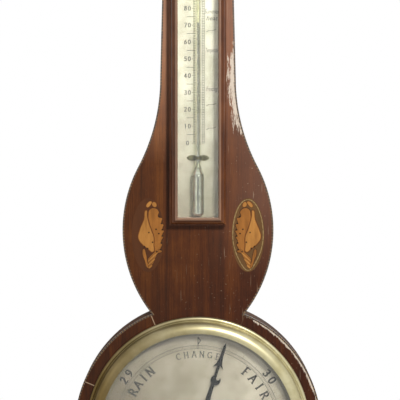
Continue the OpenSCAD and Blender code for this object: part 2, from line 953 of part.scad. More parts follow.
// The hand's outline, pointing up: a blade from tail to barbed arrow, and three rounds on it
module hand_outline() {
    neck = hand_reach - 26;
    hook_z = neck - 12.4;
    hook_r = 5;
    polygon(mirrored([
        [0.9, 8 - hand_tail], [1.2, 0], [2.4, neck - 33], [1.8, neck - 19], [1.4, neck - 11],
        [1.4, neck + 2.5], [5.6, neck - 0.5], [3, neck + 4], [2.1, neck + 8], [1.5, neck + 12],
        [1.4, hand_reach - 4], [0, hand_reach]
    ]));
    translate([1.5, hook_z]) difference() {
        circle(r = hook_r);
        hull() {
            translate([1.7, 2.2]) circle(r = 1.8);
            translate([1.2, hook_r + 2]) circle(r = 2);
        }
    }
    translate([0, 5 - hand_tail]) difference() {
        circle(r = 5);
        translate([0, -2.4]) circle(r = 3.6);
    }
    circle(r = 4.4);
}

module hand() {
    color("midnightblue") at_dial() difference() {
        rotate([0, hand_rest, 0]) sheet(hand_back, hand_front) hand_outline();
        rod(arbor_r + 0.8, hand_back - past, hand_front + past);
    }
}

module hand_collet() {
    color("gold") at_dial() difference() {
        union() {
            rod(3.2, hand_back - 0.8, hand_back);
            rod(arbor_r + 0.8, hand_back, hand_front + 0.8);
        }
        rod(arbor_r, hand_back - 2, hand_front + 2);
    }
}

// Bezel and set hand

module bezel_ring() {
    bead_cx = bezel_r - bead_r;
    bead_d = bezel_back + bead_r;
    color("gold") at_dial() turned($fn = 240) {
        difference() {
            union() {
                intersection() {
                    translate([roll_cx, roll_d]) circle(r = roll_r);
                    translate([lip_r, roll_d - past]) square([2 * roll_r, 2 * roll_r]);
                }
                translate([lip_r, bezel_back]) square([bead_cx - lip_r, roll_d - bezel_back - 0.6]);
            }
            translate([0, bezel_back - past]) square([seat_r, glass_front - bezel_back + past]);
        }
        translate([bead_cx, bezel_back]) square([bead_r, bead_r]);
        translate([bead_cx, bead_d]) circle(r = bead_r);
    }
}

module bezel_glass() {
    color("lightcyan", 0.3) at_dial() difference() {
        rod(seat_r - 0.1, glass_back, glass_front);
        rod(2.7, glass_back - past, glass_front + past);
    }
}

module glass_ring() {
    color("gold") at_dial() difference() {
        rod(seat_r, glass_back - 1.6, glass_back);
        rod(lip_r + 1.2, glass_back - 2, glass_back + past);
    }
}

module bezel_hinge_strap() {
    color("gold") at_dial() difference() {
        union() {
            translate([strap_x, -strap_d, -strap_h / 2]) cylinder(r = strap_r, h = strap_h);
            translate([bezel_r - 3, -strap_d, -strap_h / 2])
                cube([strap_x - bezel_r + 3, 1.6, strap_h]);
        }
        rod(bezel_r, case_t, strap_d + past);
        translate([strap_x, -strap_d, -strap_h]) cylinder(r = strap_pin_r + fit, h = 2 * strap_h);
    }
}

module bezel_hinge_plate() {
    high = 1.5 * strap_h;
    color("gold") at_dial() difference() {
        union() {
            translate([strap_x, -case_t - leaf_t, -high]) cube([plate_reach, leaf_t, 2 * high]);
            for (z = [-high, strap_h / 2 + gap])
                translate([strap_x, -strap_d, z]) cylinder(r = strap_r, h = strap_h - gap);
        }
        translate([strap_x, -strap_d, -strap_h / 2 - gap])
            cylinder(r = strap_r + gap, h = strap_h + 2 * gap);
        translate([strap_x, -strap_d, -high - past]) cylinder(r = strap_pin_r, h = 2 * high + 2 * past);
        front_screw_holes();
    }
}

module hinge_pins() {
    color("gold") at_dial() {
        translate([strap_x, -strap_d, -1.5 * strap_h]) cylinder(r = strap_pin_r, h = 3 * strap_h);
        for (z = hinge_places) translate([hinge_line, -knuckle_d, z - 1.5 * knuckle_h])
            cylinder(r = door_pin_r, h = 3 * knuckle_h);
    }
}

module bezel_catch() {
    color("gold") at_dial() rod(catch_r, bezel_back - catch_l, bezel_back, -catch_x);
}

module set_hand() {
    tip = -set_hand_reach;
    eye = [0, set_hand_eye + tip];
    ring = [0, set_hand_ring];
    color("gold") at_dial() sheet(set_hand_back, set_hand_front) difference() {
        union() {
            polygon(mirrored([[0, tip], [1, eye[1] - 2], [2, 0], [1.4, ring[1] - 3]]));
            translate(eye) circle(r = 3.4);
            translate(ring) circle(r = 4);
            circle(r = 4.6);
        }
        circle(r = 1.6);
        translate(eye) circle(r = 1.6);
        translate(ring) circle(r = 2);
    }
}

module set_hand_spindle() {
    color("gold") at_dial() {
        rod(2.8, set_hand_back - 0.5, set_hand_back);
        rod(1.6, set_hand_back, set_hand_front);
        rod(3.6, set_hand_front, glass_back - gap);
        rod(2.7 - fit, glass_back - gap, glass_front + 0.4);
    }
}

module set_hand_knob() {
    color("gold") at_dial() turned() translate([0, glass_front + 0.4]) {
        square([knob_r - 1, 1.4]);
        translate([0, 1.4]) square([2.2, 1.6]);
        translate([0, 3]) square([knob_r, 2.4]);
        translate([0, 5.4]) square([knob_r - 1.2, 0.8]);
    }
}

// Back door

module hinge_knuckle(z, low, high) {
    translate([hinge_line, -knuckle_d, z + low]) cylinder(r = knuckle_r, h = high - low);
}

module case_hinge_leaves() {
    color("gold") at_dial() difference() {
        for (z = hinge_places) {
            translate([hinge_line, -door_sunk, z - 1.5 * knuckle_h])
                cube([leaf_w, leaf_t, 3 * knuckle_h]);
            hinge_knuckle(z, -1.5 * knuckle_h, -knuckle_h / 2 - gap);
            hinge_knuckle(z, knuckle_h / 2 + gap, 1.5 * knuckle_h);
        }
        for (z = hinge_places) {
            translate([hinge_line, -knuckle_d, z - knuckle_h / 2 - gap])
                cylinder(r = knuckle_r + gap, h = knuckle_h + 2 * gap);
            translate([hinge_line, -knuckle_d, z - 2 * knuckle_h])
                cylinder(r = door_pin_r, h = 4 * knuckle_h);
        }
        back_screw_holes();
    }
}

module door_hinge_leaves() {
    color("gold") at_dial() difference() {
        for (z = hinge_places) {
            translate([hinge_line - leaf_w, -door_sunk, z - 1.5 * knuckle_h])
                cube([leaf_w, leaf_t, 3 * knuckle_h]);
            hinge_knuckle(z, -knuckle_h / 2, knuckle_h / 2);
        }
        for (z = hinge_places) {
            for (low = [-2 * knuckle_h, knuckle_h / 2])
                translate([hinge_line, -knuckle_d, z + low])
                    cylinder(r = knuckle_r + gap, h = 1.5 * knuckle_h);
            translate([hinge_line, -knuckle_d, z - 2 * knuckle_h])
                cylinder(r = door_pin_r + fit, h = 4 * knuckle_h);
        }
    }
}

module back_door() {
    color("peru") at_dial() difference() {
        sheet(door_out, door_in) band(door_half, -door_rise, door_rise);
        for (z = hinge_places) translate([hinge_line, -knuckle_d, z - 1.5 * knuckle_h - gap])
            cylinder(r = knuckle_r + gap, h = 3 * knuckle_h + 2 * gap);
    }
}

module turn_button() {
    color("gold") at_dial() difference() {
        sheet(button_out, button_out + button_t) {
            band(button_w / 2, button_w / 2 - button_l, button_l - button_w / 2, -button_x);
            for (s = [-1, 1]) translate([-button_x, s * (button_l - button_w / 2)])
                circle(r = button_w / 2);
        }
        rod(screw_r + fit, 0, door_sunk, -button_x);
        rod(3.1, -past, button_out + 0.9, -button_x);
    }
}

// Thermometer box

// Section of the box's mouldings: across from the outer edge, and out from the back
module moulding_section() {
    difference() {
        intersection() {
            union() {
                square([moulding_w, box_depth - 8.5]);
                translate([moulding_w - 0.5, box_depth - 8.5]) circle(r = 6.5);
                translate([moulding_w - 1.6, box_depth - 1.6]) circle(r = 1.6);
            }
            square([moulding_w, box_depth]);
        }
        translate([moulding_w - 1.4, -past]) square([moulding_w, box_back_t + scale_t + past]);
        translate([moulding_w - 1.4, box_depth - 2.6]) square([moulding_w, pane_t]);
    }
}

module box_stiles() {
    color("saddlebrown") at_dial() both_sides() intersection() {
        translate([box_half, -box_d, box_z]) rotate([0, 0, 180]) linear_extrude(box_h) moulding_section();
        sheet(case_t, box_d + box_depth + past) polygon([
            [box_half, box_z], [box_half, box_top],
            [box_half - moulding_w, box_top - moulding_w], [box_half - moulding_w, box_z + moulding_w]
        ]);
    }
}

module box_rail() {
    intersection() {
        translate([0, -box_d, 0]) rotate([180, 0, 0]) rotate([0, 90, 0])
            linear_extrude(2 * box_half, center = true) moulding_section();
        sheet(case_t, box_d + box_depth + past) polygon([
            [-box_half, 0], [box_half, 0],
            [box_half - moulding_w, moulding_w], [moulding_w - box_half, moulding_w]
        ]);
    }
}

module box_rails() {
    color("saddlebrown") at_dial() {
        translate([0, 0, box_z]) box_rail();
        translate([0, 0, box_top]) mirror([0, 0, 1]) box_rail();
    }
}

// Outline of the plates that the mouldings' rebate holds
module box_plate() {
    edge = box_half - pane_half;
    band(pane_half, box_z + edge, box_top - edge);
}

module box_back() {
    color("tan") at_dial() difference() {
        sheet(box_d, box_d + box_back_t) box_plate();
        scale_screw_holes();
    }
}

module scale_plate() {
    color("gainsboro") at_dial() difference() {
        sheet(box_d + box_back_t, scale_front) box_plate();
        scale_screw_holes();
    }
}

module scale_screw_holes() {
    for (p = scale_places) from_front(p[0], p[1], scale_front) screw_hole(box_back_t + scale_t);
}

module scale_screws() {
    color("gold") at_dial() for (p = scale_places)
        from_front(p[0], p[1], scale_front) screw(box_back_t + scale_t);
}

module box_glass() {
    color("lightcyan", 0.3) at_dial() sheet(pane_d, pane_d + pane_t) box_plate();
}

// Half profile of the bulb and the stem above it, drawn in by inset
module bulb_profile(inset, stem, top) {
    r = bulb_r - inset;
    low = inset;
    shoulder = bulb_h - bulb_shoulder;
    square_r = bulb_round - inset;
    translate([0, low]) square([r - square_r, shoulder - low]);
    translate([0, low + square_r]) square([r, shoulder - low - square_r]);
    intersection() {
        translate([r - square_r, low + square_r]) circle(r = square_r);
        translate([0, low]) square([r, 2 * square_r]);
    }
    polygon(concat([[0, shoulder]], [for (turn = [0:15:180])
        [stem + (r - stem) * (1 + cos(turn)) / 2, shoulder + bulb_shoulder * turn / 180]
    ], [[0, bulb_h]]));
    translate([0, bulb_h - past]) square([stem, top - bulb_h + past]);
}

module thermometer_tube() {
    color("lightcyan", 0.4) at_dial() translate([0, -stem_d, bulb_z]) difference() {
        rotate_extrude() bulb_profile(0, stem_r, stem_top - bulb_z);
        rotate_extrude() bulb_profile(bulb_wall, stem_bore, stem_top - bulb_z - 4);
    }
}

module thermometer_mercury() {
    color("silver") at_dial() translate([0, -stem_d, bulb_z])
        rotate_extrude() bulb_profile(bulb_wall, stem_bore, zero_z + temperature * degree - bulb_z);
}

// Bow-shaped straps over the tube, with their leaves flat on the scale plate
module tube_clips() {
    strap_r = stem_r + clip_t;
    color("darkkhaki") at_dial() difference() {
        union() for (z = [clip_z, stem_top - 12]) translate([0, 0, z]) {
            sheet(scale_front, scale_front + clip_t) clip_bow();
            intersection() {
                sheet(scale_front, stem_d + 2 * stem_r) clip_bow();
                union() {
                    translate([0, -stem_d, -clip_h]) cylinder(r = strap_r, h = 2 * clip_h);
                    translate([-strap_r, -stem_d, -clip_h])
                        cube([2 * strap_r, stem_d - scale_front, 2 * clip_h]);
                }
            }
        }
        translate([0, -stem_d, clip_z - clip_h])
            cylinder(r = stem_r, h = stem_top - clip_z);
        translate([-stem_r, -stem_d, clip_z - clip_h])
            cube([2 * stem_r, stem_d - scale_front + past, stem_top - clip_z]);
    }
}

// Two leaves on a narrow waist, each leaf drawn as the overlap of two circles
module clip_bow() {
    half_l = clip_half / 2;
    leaf_r = (pow(half_l, 2) + pow(clip_h, 2)) / (2 * clip_h);
    both_sides_flat() translate([half_l, 0]) intersection() {
        translate([0, leaf_r - clip_h]) circle(r = leaf_r);
        translate([0, clip_h - leaf_r]) circle(r = leaf_r);
    }
    square([half_l, clip_h / 2], center = true);
}

// Hooks on the box's back that hang on pins across pockets in the case
module box_hooks() {
    tip = 1;
    over = hook_pin_r + 0.1;
    back = hook_pin_d - hook_pin_r - gap - tip;
    color("gold") at_dial() for (z = hook_places) translate([-hook_half, 0, z])
        rotate([90, 0, 90]) linear_extrude(2 * hook_half) polygon([
            [-box_d, over + 10], [-box_d, over], [-back - tip, over], [-back - tip, -3],
            [-back, -3], [-back, over + 1.2], [-box_d + 1, over + 1.2], [-box_d + 1, over + 10]
        ]);
}

module hook_pins() {
    color("gold") at_dial() for (z = hook_places) hook_pin(z);
}

core_planks();
core_blocks();
front_veneer();
edge_stringing();
shell_inlay(-1);  // left_shell_inlay
shell_inlay(1);  // right_shell_inlay
flower_inlays();
cornice();
swan_neck(-1);  // left_swan_neck
swan_neck(1);  // right_swan_neck
roundels();
plinth();
finial();
hanging_plate();
tube_covers();
back_screws();
tube_corks();
siphon_tube();
mercury_column();
lower_mercury();
upper_mercury();
dial_plate();
front_screws();
dial_bush();
bridge();
bridge_pillars();
bridge_screws();
bezel_hinge_plate();
hinge_pins();
case_hinge_leaves();
hook_pins();
bezel_ring();
bezel_glass();
glass_ring();
bezel_hinge_strap();
bezel_catch();
set_hand();
set_hand_spindle();
set_hand_knob();
hand();
hand_collet();
arbor();
pulley();
float_weight();
float_thread();
counterweight();
counterweight_thread();
back_door();
door_hinge_leaves();
turn_button();
box_stiles();
box_rails();
box_back();
box_glass();
scale_plate();
thermometer_tube();
thermometer_mercury();
tube_clips();
scale_screws();
box_hooks();
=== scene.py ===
# %% [markdown]
# A wheel barometer of about 1800, in a banjo-shaped mahogany case with shell
# inlays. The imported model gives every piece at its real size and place. This
# script gives the pieces their finish, and adds what is engraved, inlaid or
# worn. Lengths below are millimetres, and MM turns them into Blender's metres.

# %% Load the frame
from math import cos, pi, radians, sin

import bmesh
import bpy
from mathutils import Matrix, Vector


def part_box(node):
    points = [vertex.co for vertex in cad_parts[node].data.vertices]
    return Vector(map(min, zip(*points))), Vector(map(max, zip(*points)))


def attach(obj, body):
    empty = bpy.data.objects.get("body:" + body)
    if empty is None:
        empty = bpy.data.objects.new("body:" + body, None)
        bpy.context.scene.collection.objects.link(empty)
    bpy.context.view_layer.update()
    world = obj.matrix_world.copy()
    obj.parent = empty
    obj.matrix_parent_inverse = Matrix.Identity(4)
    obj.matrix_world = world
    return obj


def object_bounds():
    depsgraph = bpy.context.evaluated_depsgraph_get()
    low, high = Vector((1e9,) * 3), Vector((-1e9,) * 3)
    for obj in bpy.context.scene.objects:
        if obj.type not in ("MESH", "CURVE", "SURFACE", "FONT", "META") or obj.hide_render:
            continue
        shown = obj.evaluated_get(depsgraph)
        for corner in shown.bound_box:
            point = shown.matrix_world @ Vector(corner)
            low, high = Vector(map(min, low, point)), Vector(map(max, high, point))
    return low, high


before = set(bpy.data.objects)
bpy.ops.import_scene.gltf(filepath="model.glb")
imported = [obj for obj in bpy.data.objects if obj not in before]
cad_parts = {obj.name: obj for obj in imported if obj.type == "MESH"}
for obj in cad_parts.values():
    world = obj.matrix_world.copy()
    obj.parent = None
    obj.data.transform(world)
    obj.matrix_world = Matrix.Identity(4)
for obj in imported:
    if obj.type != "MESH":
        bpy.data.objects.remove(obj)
cad_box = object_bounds()
MM = 0.001

# %% Places read from the frame
dial_low, dial_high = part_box("dial_plate")
veneer_low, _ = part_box("front_veneer")
scale_low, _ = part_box("scale_plate")
DIAL_Z = (dial_low.z + dial_high.z) / 2
DIAL_R = (dial_high.x - dial_low.x) / 2
DIAL_FACE = dial_low.y
WOOD_FACE = veneer_low.y
SCALE_FACE = scale_low.y
print("dial centre at", round(DIAL_Z, 4), "and its radius", round(DIAL_R, 4))

# %% [markdown]
# The camera comes first, because every other choice is judged through it. The
# photograph was taken square to the case, from about a metre away, and then
# cropped low, so the picture's vanishing point lies above its middle. A real
# camera would have a shifted lens. Blender's shift is a share of the picture's
# width, and the focal length follows from one pixel a millimetre at the case.

# %% Camera
PICTURE = 400
SENSOR = 36
CAMERA_FROM_CASE = 1020 * MM
AXIS_ABOVE_DIAL = 300.6 * MM
AXIS_PIXEL = (198, 128)
FARTHEST_SEEN = 20

scene = bpy.context.scene
camera_data = bpy.data.cameras.new("camera")
camera = bpy.data.objects.new("camera", camera_data)
scene.collection.objects.link(camera)
scene.camera = camera
camera.location = (0, WOOD_FACE - CAMERA_FROM_CASE, DIAL_Z + AXIS_ABOVE_DIAL)
camera.rotation_euler = (pi / 2, 0, 0)
camera_data.sensor_width = SENSOR
camera_data.lens = SENSOR * CAMERA_FROM_CASE / MM / PICTURE
camera_data.shift_x = (PICTURE / 2 - AXIS_PIXEL[0]) / PICTURE
camera_data.shift_y = (AXIS_PIXEL[1] - PICTURE / 2) / PICTURE
camera_data.clip_end = FARTHEST_SEEN
print("lens", round(camera_data.lens, 1), "mm")

# %% [markdown]
# Two small helpers carry all the materials. One turns an sRGB hex colour into
# the linear colour that Blender works with. The other adds a shader node and
# wires its inputs in one call, so that a finish reads from top to bottom.


# %% Colours and nodes
def srgb(code):
    """An sRGB hex colour as the linear colour that Blender's sockets take."""
    parts = [int(code[i : i + 2], 16) / 255 for i in (1, 3, 5)]
    return (*[c / 12.92 if c <= 0.04045 else ((c + 0.055) / 1.055) ** 2.4 for c in parts], 1)


def add(tree, kind, **given):
    """A new node. Lower-case names are settings, and others are inputs: I7 is input 7."""
    node = tree.nodes.new("ShaderNode" + kind)
    for name, value in given.items():
        if name == "stops":
            ramp = node.color_ramp.elements
            while len(ramp) < len(value):
                ramp.new(0.5)
            for stop, (place, colour) in zip(ramp, value):
                stop.position = place
                stop.color = srgb(colour)
        elif name[0].islower():
            setattr(node, name, value)
        else:
            key = int(name[1:]) if name[1:].isdigit() else name.replace("_", " ")
            if isinstance(value, bpy.types.NodeSocket):
                tree.links.new(value, node.inputs[key])
            else:
                node.inputs[key].default_value = srgb(value) if isinstance(value, str) else value
    return node


# %% [markdown]
# The light is one soft lamp in front, above and to the right, as the shadows
# inside the thermometer box and below it show, and a weak wide one on the left.
# A third stands behind, so that the back door and the works can be seen too.
# The world fills the shadows. A picture on white needs a white background but no
# more light on the object, so the world is white only to rays from the camera,
# to reflections and to what is seen through glass.

# %% Lamps and world
scene.view_settings.view_transform = "Standard"


def lamp(name, place, aim, watts, size):
    """A square lamp at a place, turned to what it lights."""
    data = bpy.data.lights.new(name, "AREA")
    data.energy = watts
    data.size = size
    light = bpy.data.objects.new(name, data)
    light.location = place
    light.rotation_euler = (aim - light.location).to_track_quat("-Z", "Y").to_euler()
    scene.collection.objects.link(light)


AIM_ABOVE_DIAL = 150 * MM
SHADE_LEVEL, SEEN_LEVEL = 0.22, 1.0

aim = Vector((0, WOOD_FACE, DIAL_Z + AIM_ABOVE_DIAL))
lamp("key_lamp", aim + Vector((0.3, -0.8, 0.5)), aim, watts=7.6, size=0.15)
lamp("fill_lamp", aim + Vector((-1.3, -1.2, 0.2)), aim, watts=1.6, size=1.0)
lamp("back_lamp", aim + Vector((0.5, 1.4, 0.5)), aim, watts=9, size=1.0)

world = bpy.data.worlds.new("white_studio")
scene.world = world
world.use_nodes = True
sky = world.node_tree
sky.nodes.clear()
rays = add(sky, "LightPath")
seen = rays.outputs["Is Camera Ray"]
for kind in ("Is Glossy Ray", "Is Transmission Ray"):
    seen = add(sky, "Math", operation="MAXIMUM", I0=seen, I1=rays.outputs[kind]).outputs[0]
level = add(sky, "MapRange", I0=seen, I3=SHADE_LEVEL, I4=SEEN_LEVEL)
backing = add(sky, "Background", Color="#FFFFFF", Strength=level.outputs[0])
add(sky, "OutputWorld", Surface=backing.outputs[0])
print(len(bpy.data.lights), "lamps lit")

# %% [markdown]
# A finish is one material, named for what it is made of. Patterns read Object
# coordinates, which are metres in the part's own frame, so that a grain width
# in millimetres becomes a noise scale of one over that width. The same few
# steps start every material, and dress() lays it on the frame's own solids.


# %% How a material and a piece start
def start(name, colour="#808080", **surface):
    """A new material with its Principled shader set: the material, its nodes and its shader."""
    material = bpy.data.materials.new(name)
    material.use_nodes = True
    tree = material.node_tree
    shader = tree.nodes["Principled BSDF"]
    shader.inputs["Base Color"].default_value = srgb(colour)
    for key, value in surface.items():
        shader.inputs[key.replace("_", " ")].default_value = value
    return material, tree, shader


def dress(material, *nodes):
    """Gives a material to nodes of the frame."""
    for node in nodes:
        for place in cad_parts[node].material_slots:
            place.material = material


def per_mm(size):
    """The noise scale whose features are about a size in millimetres."""
    return 1 / (size * MM)


def piece(name, shape, material, ride=None):
    """Makes a bmesh into an object. A ride names the body that carries it."""
    mesh = bpy.data.meshes.new(name)
    bmesh.ops.recalc_face_normals(shape, faces=shape.faces)
    shape.to_mesh(mesh)
    shape.free()
    mesh.materials.append(material)
    thing = bpy.data.objects.new(name, mesh)
    scene.collection.objects.link(thing)
    if ride:
        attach(thing, ride)
    return thing


# %% [markdown]
# The floor is pale and dull, and lies a little below the hanging case, where the
# photograph's frame doesn't reach. It belongs to the studio and not to the object.

# %% Floor
FLOOR_BELOW = 40 * MM
FLOOR_HALF = 550 * MM
floor_paint, *_ = start("pale_floor_paint", "#F4F3F0", Roughness=0.9)
shape = bmesh.new()
bmesh.ops.create_grid(shape, x_segments=1, y_segments=1, size=FLOOR_HALF)
bmesh.ops.translate(shape, verts=shape.verts, vec=(0, 0, cad_box[0][2] - FLOOR_BELOW))
floor = piece("floor", shape, floor_paint)
print("floor laid", round(cad_box[0][2] - FLOOR_BELOW, 3))

# %% [markdown]
# Mahogany is close-grained and ribbon-figured. Along the grain its pattern is
# some forty times longer than across, which one stretched noise gives at three
# widths: broad ribbons, streaks and pores. French polish is shellac rubbed to a
# thin glossy coat, so the shader gets a coat over a rougher ground.


# %% Wood
FIGURE_LONG, PORE_LONG, PORE_WIDE = 40, 14, 0.6
STREAK_SHARE, CLOUD_SHARE = 0.45, 0.28


def stretched(along, times):
    """A mapping's scale that makes a pattern longer along one axis."""
    return [1 / times if axis == along else 1 for axis in "XYZ"]


def wood(name, deep, mid, pale, along="Z", ribbon=9, streak=1.3, mottle=24, **surface):
    """Polished or plain wood whose grain runs along one axis, with widths in millimetres."""
    material, tree, shader = start(name, **surface)
    place = add(tree, "TexCoord").outputs["Object"]
    grain = add(tree, "Mapping", Vector=place, Scale=stretched(along, FIGURE_LONG)).outputs[0]
    ribbons = add(tree, "TexNoise", Vector=grain, Scale=per_mm(ribbon), Detail=2, Distortion=0.6)
    streaks = add(tree, "TexNoise", Vector=grain, Scale=per_mm(streak), Detail=4, Roughness=0.6)
    short = add(tree, "Mapping", Vector=place, Scale=stretched(along, PORE_LONG)).outputs[0]
    pores = add(tree, "TexNoise", Vector=short, Scale=per_mm(PORE_WIDE), Detail=1)
    clouds = add(tree, "TexNoise", Vector=place, Scale=per_mm(mottle), Detail=3)
    figure = add(tree, "Mix", data_type="FLOAT", I0=STREAK_SHARE, I2=ribbons.outputs[0], I3=streaks.outputs[0])
    figure = add(tree, "Mix", data_type="FLOAT", I0=CLOUD_SHARE, I2=figure.outputs[0], I3=clouds.outputs[0])
    colour = add(tree, "ValToRGB", Fac=figure.outputs[0], stops=[(0.36, deep), (0.5, mid), (0.64, pale)])
    dark = add(tree, "MapRange", I0=pores.outputs[0], I1=0.3, I2=0.42, I3=0.72, I4=1.0)
    colour = add(tree, "Mix", data_type="RGBA", blend_type="MULTIPLY", I0=1.0,
                 I6=colour.outputs[0], I7=dark.outputs[0])
    bump = add(tree, "Bump", Strength=0.35, Distance=0.1 * MM, Height=pores.outputs[0])
    tree.links.new(bump.outputs[0], shader.inputs["Normal"])
    tree.links.new(colour.outputs[2], shader.inputs["Base Color"])
    return material, tree, shader, colour.outputs[2]


POLISH = {"Roughness": 0.4, "Specular_IOR_Level": 0.15, "Coat_Weight": 0.04, "Coat_Roughness": 0.15}
RUBBED = {"Roughness": 0.25, "Specular_IOR_Level": 0.18, "Coat_Weight": 0.12, "Coat_Roughness": 0.1}
PLAIN = {"Roughness": 0.8, "Specular_IOR_Level": 0.08}
VENEER = ("#3B1F0A", "#532D12", "#6D411B")
MOULDING = ("#432210", "#633619", "#85502C")

veneer, _, veneer_shader, grain_colour = wood("polished_mahogany_veneer", *VENEER, **POLISH)
moulding, *_ = wood("polished_mahogany_moulding", *MOULDING, ribbon=6, **RUBBED)
cross_moulding, *_ = wood("polished_mahogany_cross_moulding", *MOULDING, along="X", ribbon=6, **RUBBED)
sides, *_ = wood("stained_pine_case", "#2C1A0E", "#472B17", "#5C3C22", ribbon=7, **PLAIN)
deal, *_ = wood("aged_pine_board", "#6A4A2B", "#8A6539", "#A58254", ribbon=7, **PLAIN)

dress(veneer, "front_veneer")
dress(moulding, "box_stiles", "left_swan_neck", "right_swan_neck", "roundels", "plinth")
dress(cross_moulding, "box_rails", "cornice")
dress(sides, "core_planks", "core_blocks")
dress(deal, "tube_covers", "box_back", "back_door")
print("wood dressed")

# %% [markdown]
# The veneer on the front has its own history. Hands and knocks have worn the
# neck's right edge and the dial's upper right rim down to bare pale wood, in
# ragged patches. Each patch is a band along the edge, broken up by noise. The
# neck's edge is an arc, so the distance from the arc's centre tells how near the
# edge a point is. A pair of numbers says where a band begins and where it is
# full, in millimetres from the dial's centre.

# %% Bare wood at the edges
HOLLOW_X, HOLLOW_Z, HOLLOW_R = 227.8, 350.5, 190
RIM_R = 123.5
NECK_IN, NECK_LOW, NECK_HIGH = (HOLLOW_R + 15, HOLLOW_R + 2), (285, 305), (396, 385)
RIM_IN, RIM_OUT, RIM_RIGHT, RIM_UP = (RIM_R - 5, RIM_R - 2), (RIM_R + 2, RIM_R + 1), (40, 60), (10, 40)
TEAR_WIDE, TEAR_LONG, TEAR_SLANT = 3, 6, 0.12
TEAR_CONTRAST, TEAR_SHIFT = 3.4, -1.9


def band(tree, value, begin, end):
    """Rises from 0 to 1 as a value, in metres, goes from begin to end in millimetres."""
    return add(tree, "MapRange", I0=value, I1=begin * MM, I2=end * MM).outputs[0]


def product(tree, *values):
    """The product of several values."""
    total = values[0]
    for value in values[1:]:
        total = add(tree, "Math", operation="MULTIPLY", I0=total, I1=value).outputs[0]
    return total


tree = veneer.node_tree
place = add(tree, "TexCoord").outputs["Object"]
local = add(tree, "VectorMath", operation="SUBTRACT", I0=place, I1=(0, WOOD_FACE, DIAL_Z)).outputs[0]
x, _, z = add(tree, "SeparateXYZ", Vector=local).outputs
hollow = (HOLLOW_X * MM, 0, HOLLOW_Z * MM)
from_hollow = add(tree, "VectorMath", operation="DISTANCE", I0=local, I1=hollow).outputs["Value"]
from_dial = add(tree, "VectorMath", operation="LENGTH", I0=local).outputs["Value"]
neck_edge = product(tree, band(tree, from_hollow, *NECK_IN), band(tree, z, *NECK_LOW),
                    band(tree, z, *NECK_HIGH))
rim_edge = product(tree, band(tree, from_dial, *RIM_IN), band(tree, from_dial, *RIM_OUT),
                   band(tree, x, *RIM_RIGHT), band(tree, z, *RIM_UP))
edges = add(tree, "Math", operation="MAXIMUM", I0=neck_edge, I1=rim_edge).outputs[0]
torn = add(tree, "Mapping", Vector=local, Rotation=(0, TEAR_SLANT, 0), Scale=stretched("Z", TEAR_LONG))
ragged = add(tree, "TexNoise", Vector=torn.outputs[0], Scale=per_mm(TEAR_WIDE), Detail=5, Roughness=0.8)
bare = add(tree, "Math", operation="MULTIPLY_ADD", I0=ragged.outputs[0], I1=TEAR_CONTRAST, I2=TEAR_SHIFT)
bare = add(tree, "Math", operation="ADD", I0=bare.outputs[0], I1=edges)
bare = add(tree, "MapRange", I0=bare.outputs[0], I1=0.4, I2=0.62).outputs[0]
near = add(tree, "MapRange", I0=edges, I1=0.01, I2=0.09).outputs[0]
bare = product(tree, bare, near)
print("bare wood placed at the neck and the rim")

# %% [markdown]
# The rim is veneered in eight segments, whose joints have opened a little. The
# angle round the dial, counted in eighths of a turn, tells where a joint is: it
# lies halfway between two whole numbers. They show pale on the upper left only,
# where the wood has dried most.

# %% Joints of the rim
JOINT = 2 * pi / 8
JOINT_IN, JOINT_OUT, JOINT_DOWN, JOINT_LEFT = (110, 111), (RIM_R, RIM_R - 1), (118, 114), (50, -20)
JOINT_WHITE, JOINT_CLEAR, JOINT_SHARE = 0.003, 0.006, 0.75

turn = add(tree, "Math", operation="ARCTAN2", I0=x, I1=z).outputs[0]
eighth = add(tree, "Math", operation="FRACT", I0=product(tree, turn, 1 / JOINT)).outputs[0]
off_joint = add(tree, "Math", operation="SUBTRACT", I0=eighth, I1=0.5).outputs[0]
off_joint = add(tree, "Math", operation="ABSOLUTE", I0=off_joint).outputs[0]
joints = add(tree, "MapRange", I0=off_joint, I1=JOINT_CLEAR, I2=JOINT_WHITE).outputs[0]
joints = product(tree, joints, band(tree, from_dial, *JOINT_IN), band(tree, from_dial, *JOINT_OUT),
                 band(tree, z, *JOINT_DOWN), band(tree, x, *JOINT_LEFT), JOINT_SHARE)
print("rim jointed every", round(JOINT, 3), "radians")

# %% [markdown]
# One side is tinted gold and the other red, and the red side's pinkish grey is
# painted sheen from the lamp on the right. The lower part is painted darker, as
# shade under light from above. The neck is painted brighter, most on the left,
# as sheen and light from above: its grain is brightened and then a pale colour
# laid over part of it. A pinkish patch beside the box is painted sheen too.
# Scratches and chips are painted pale on the right only, as glints where the
# light grazes them.

# %% Side tints, painted shade and sheen, and scratch glints
SIDE_X, LOW_SHADE_Z, NECK_SHEEN_Z = (-70, 60), (80, 215), (265, 400)
NECK_SHEEN_RIGHT, NECK_SHEEN_TOP, NECK_SHEEN_ENDS_Z = 0.25, 0.35, (450, 600)
NECK_SHEEN_GAIN, NECK_SHEEN_COVER = 3.1, 0.55
RIGHT_SHEEN_X, RIGHT_SHEEN_Z, RIGHT_SHEEN_SHARE = (5, 60), (150, 230), 0.35
SCRATCH_WIDE, SCRATCH_LONG, SCRATCH_SLANT, CHIP_WIDE = 1.5, 25, 0.5, 2.2
GLINT_SHARE = 0.5

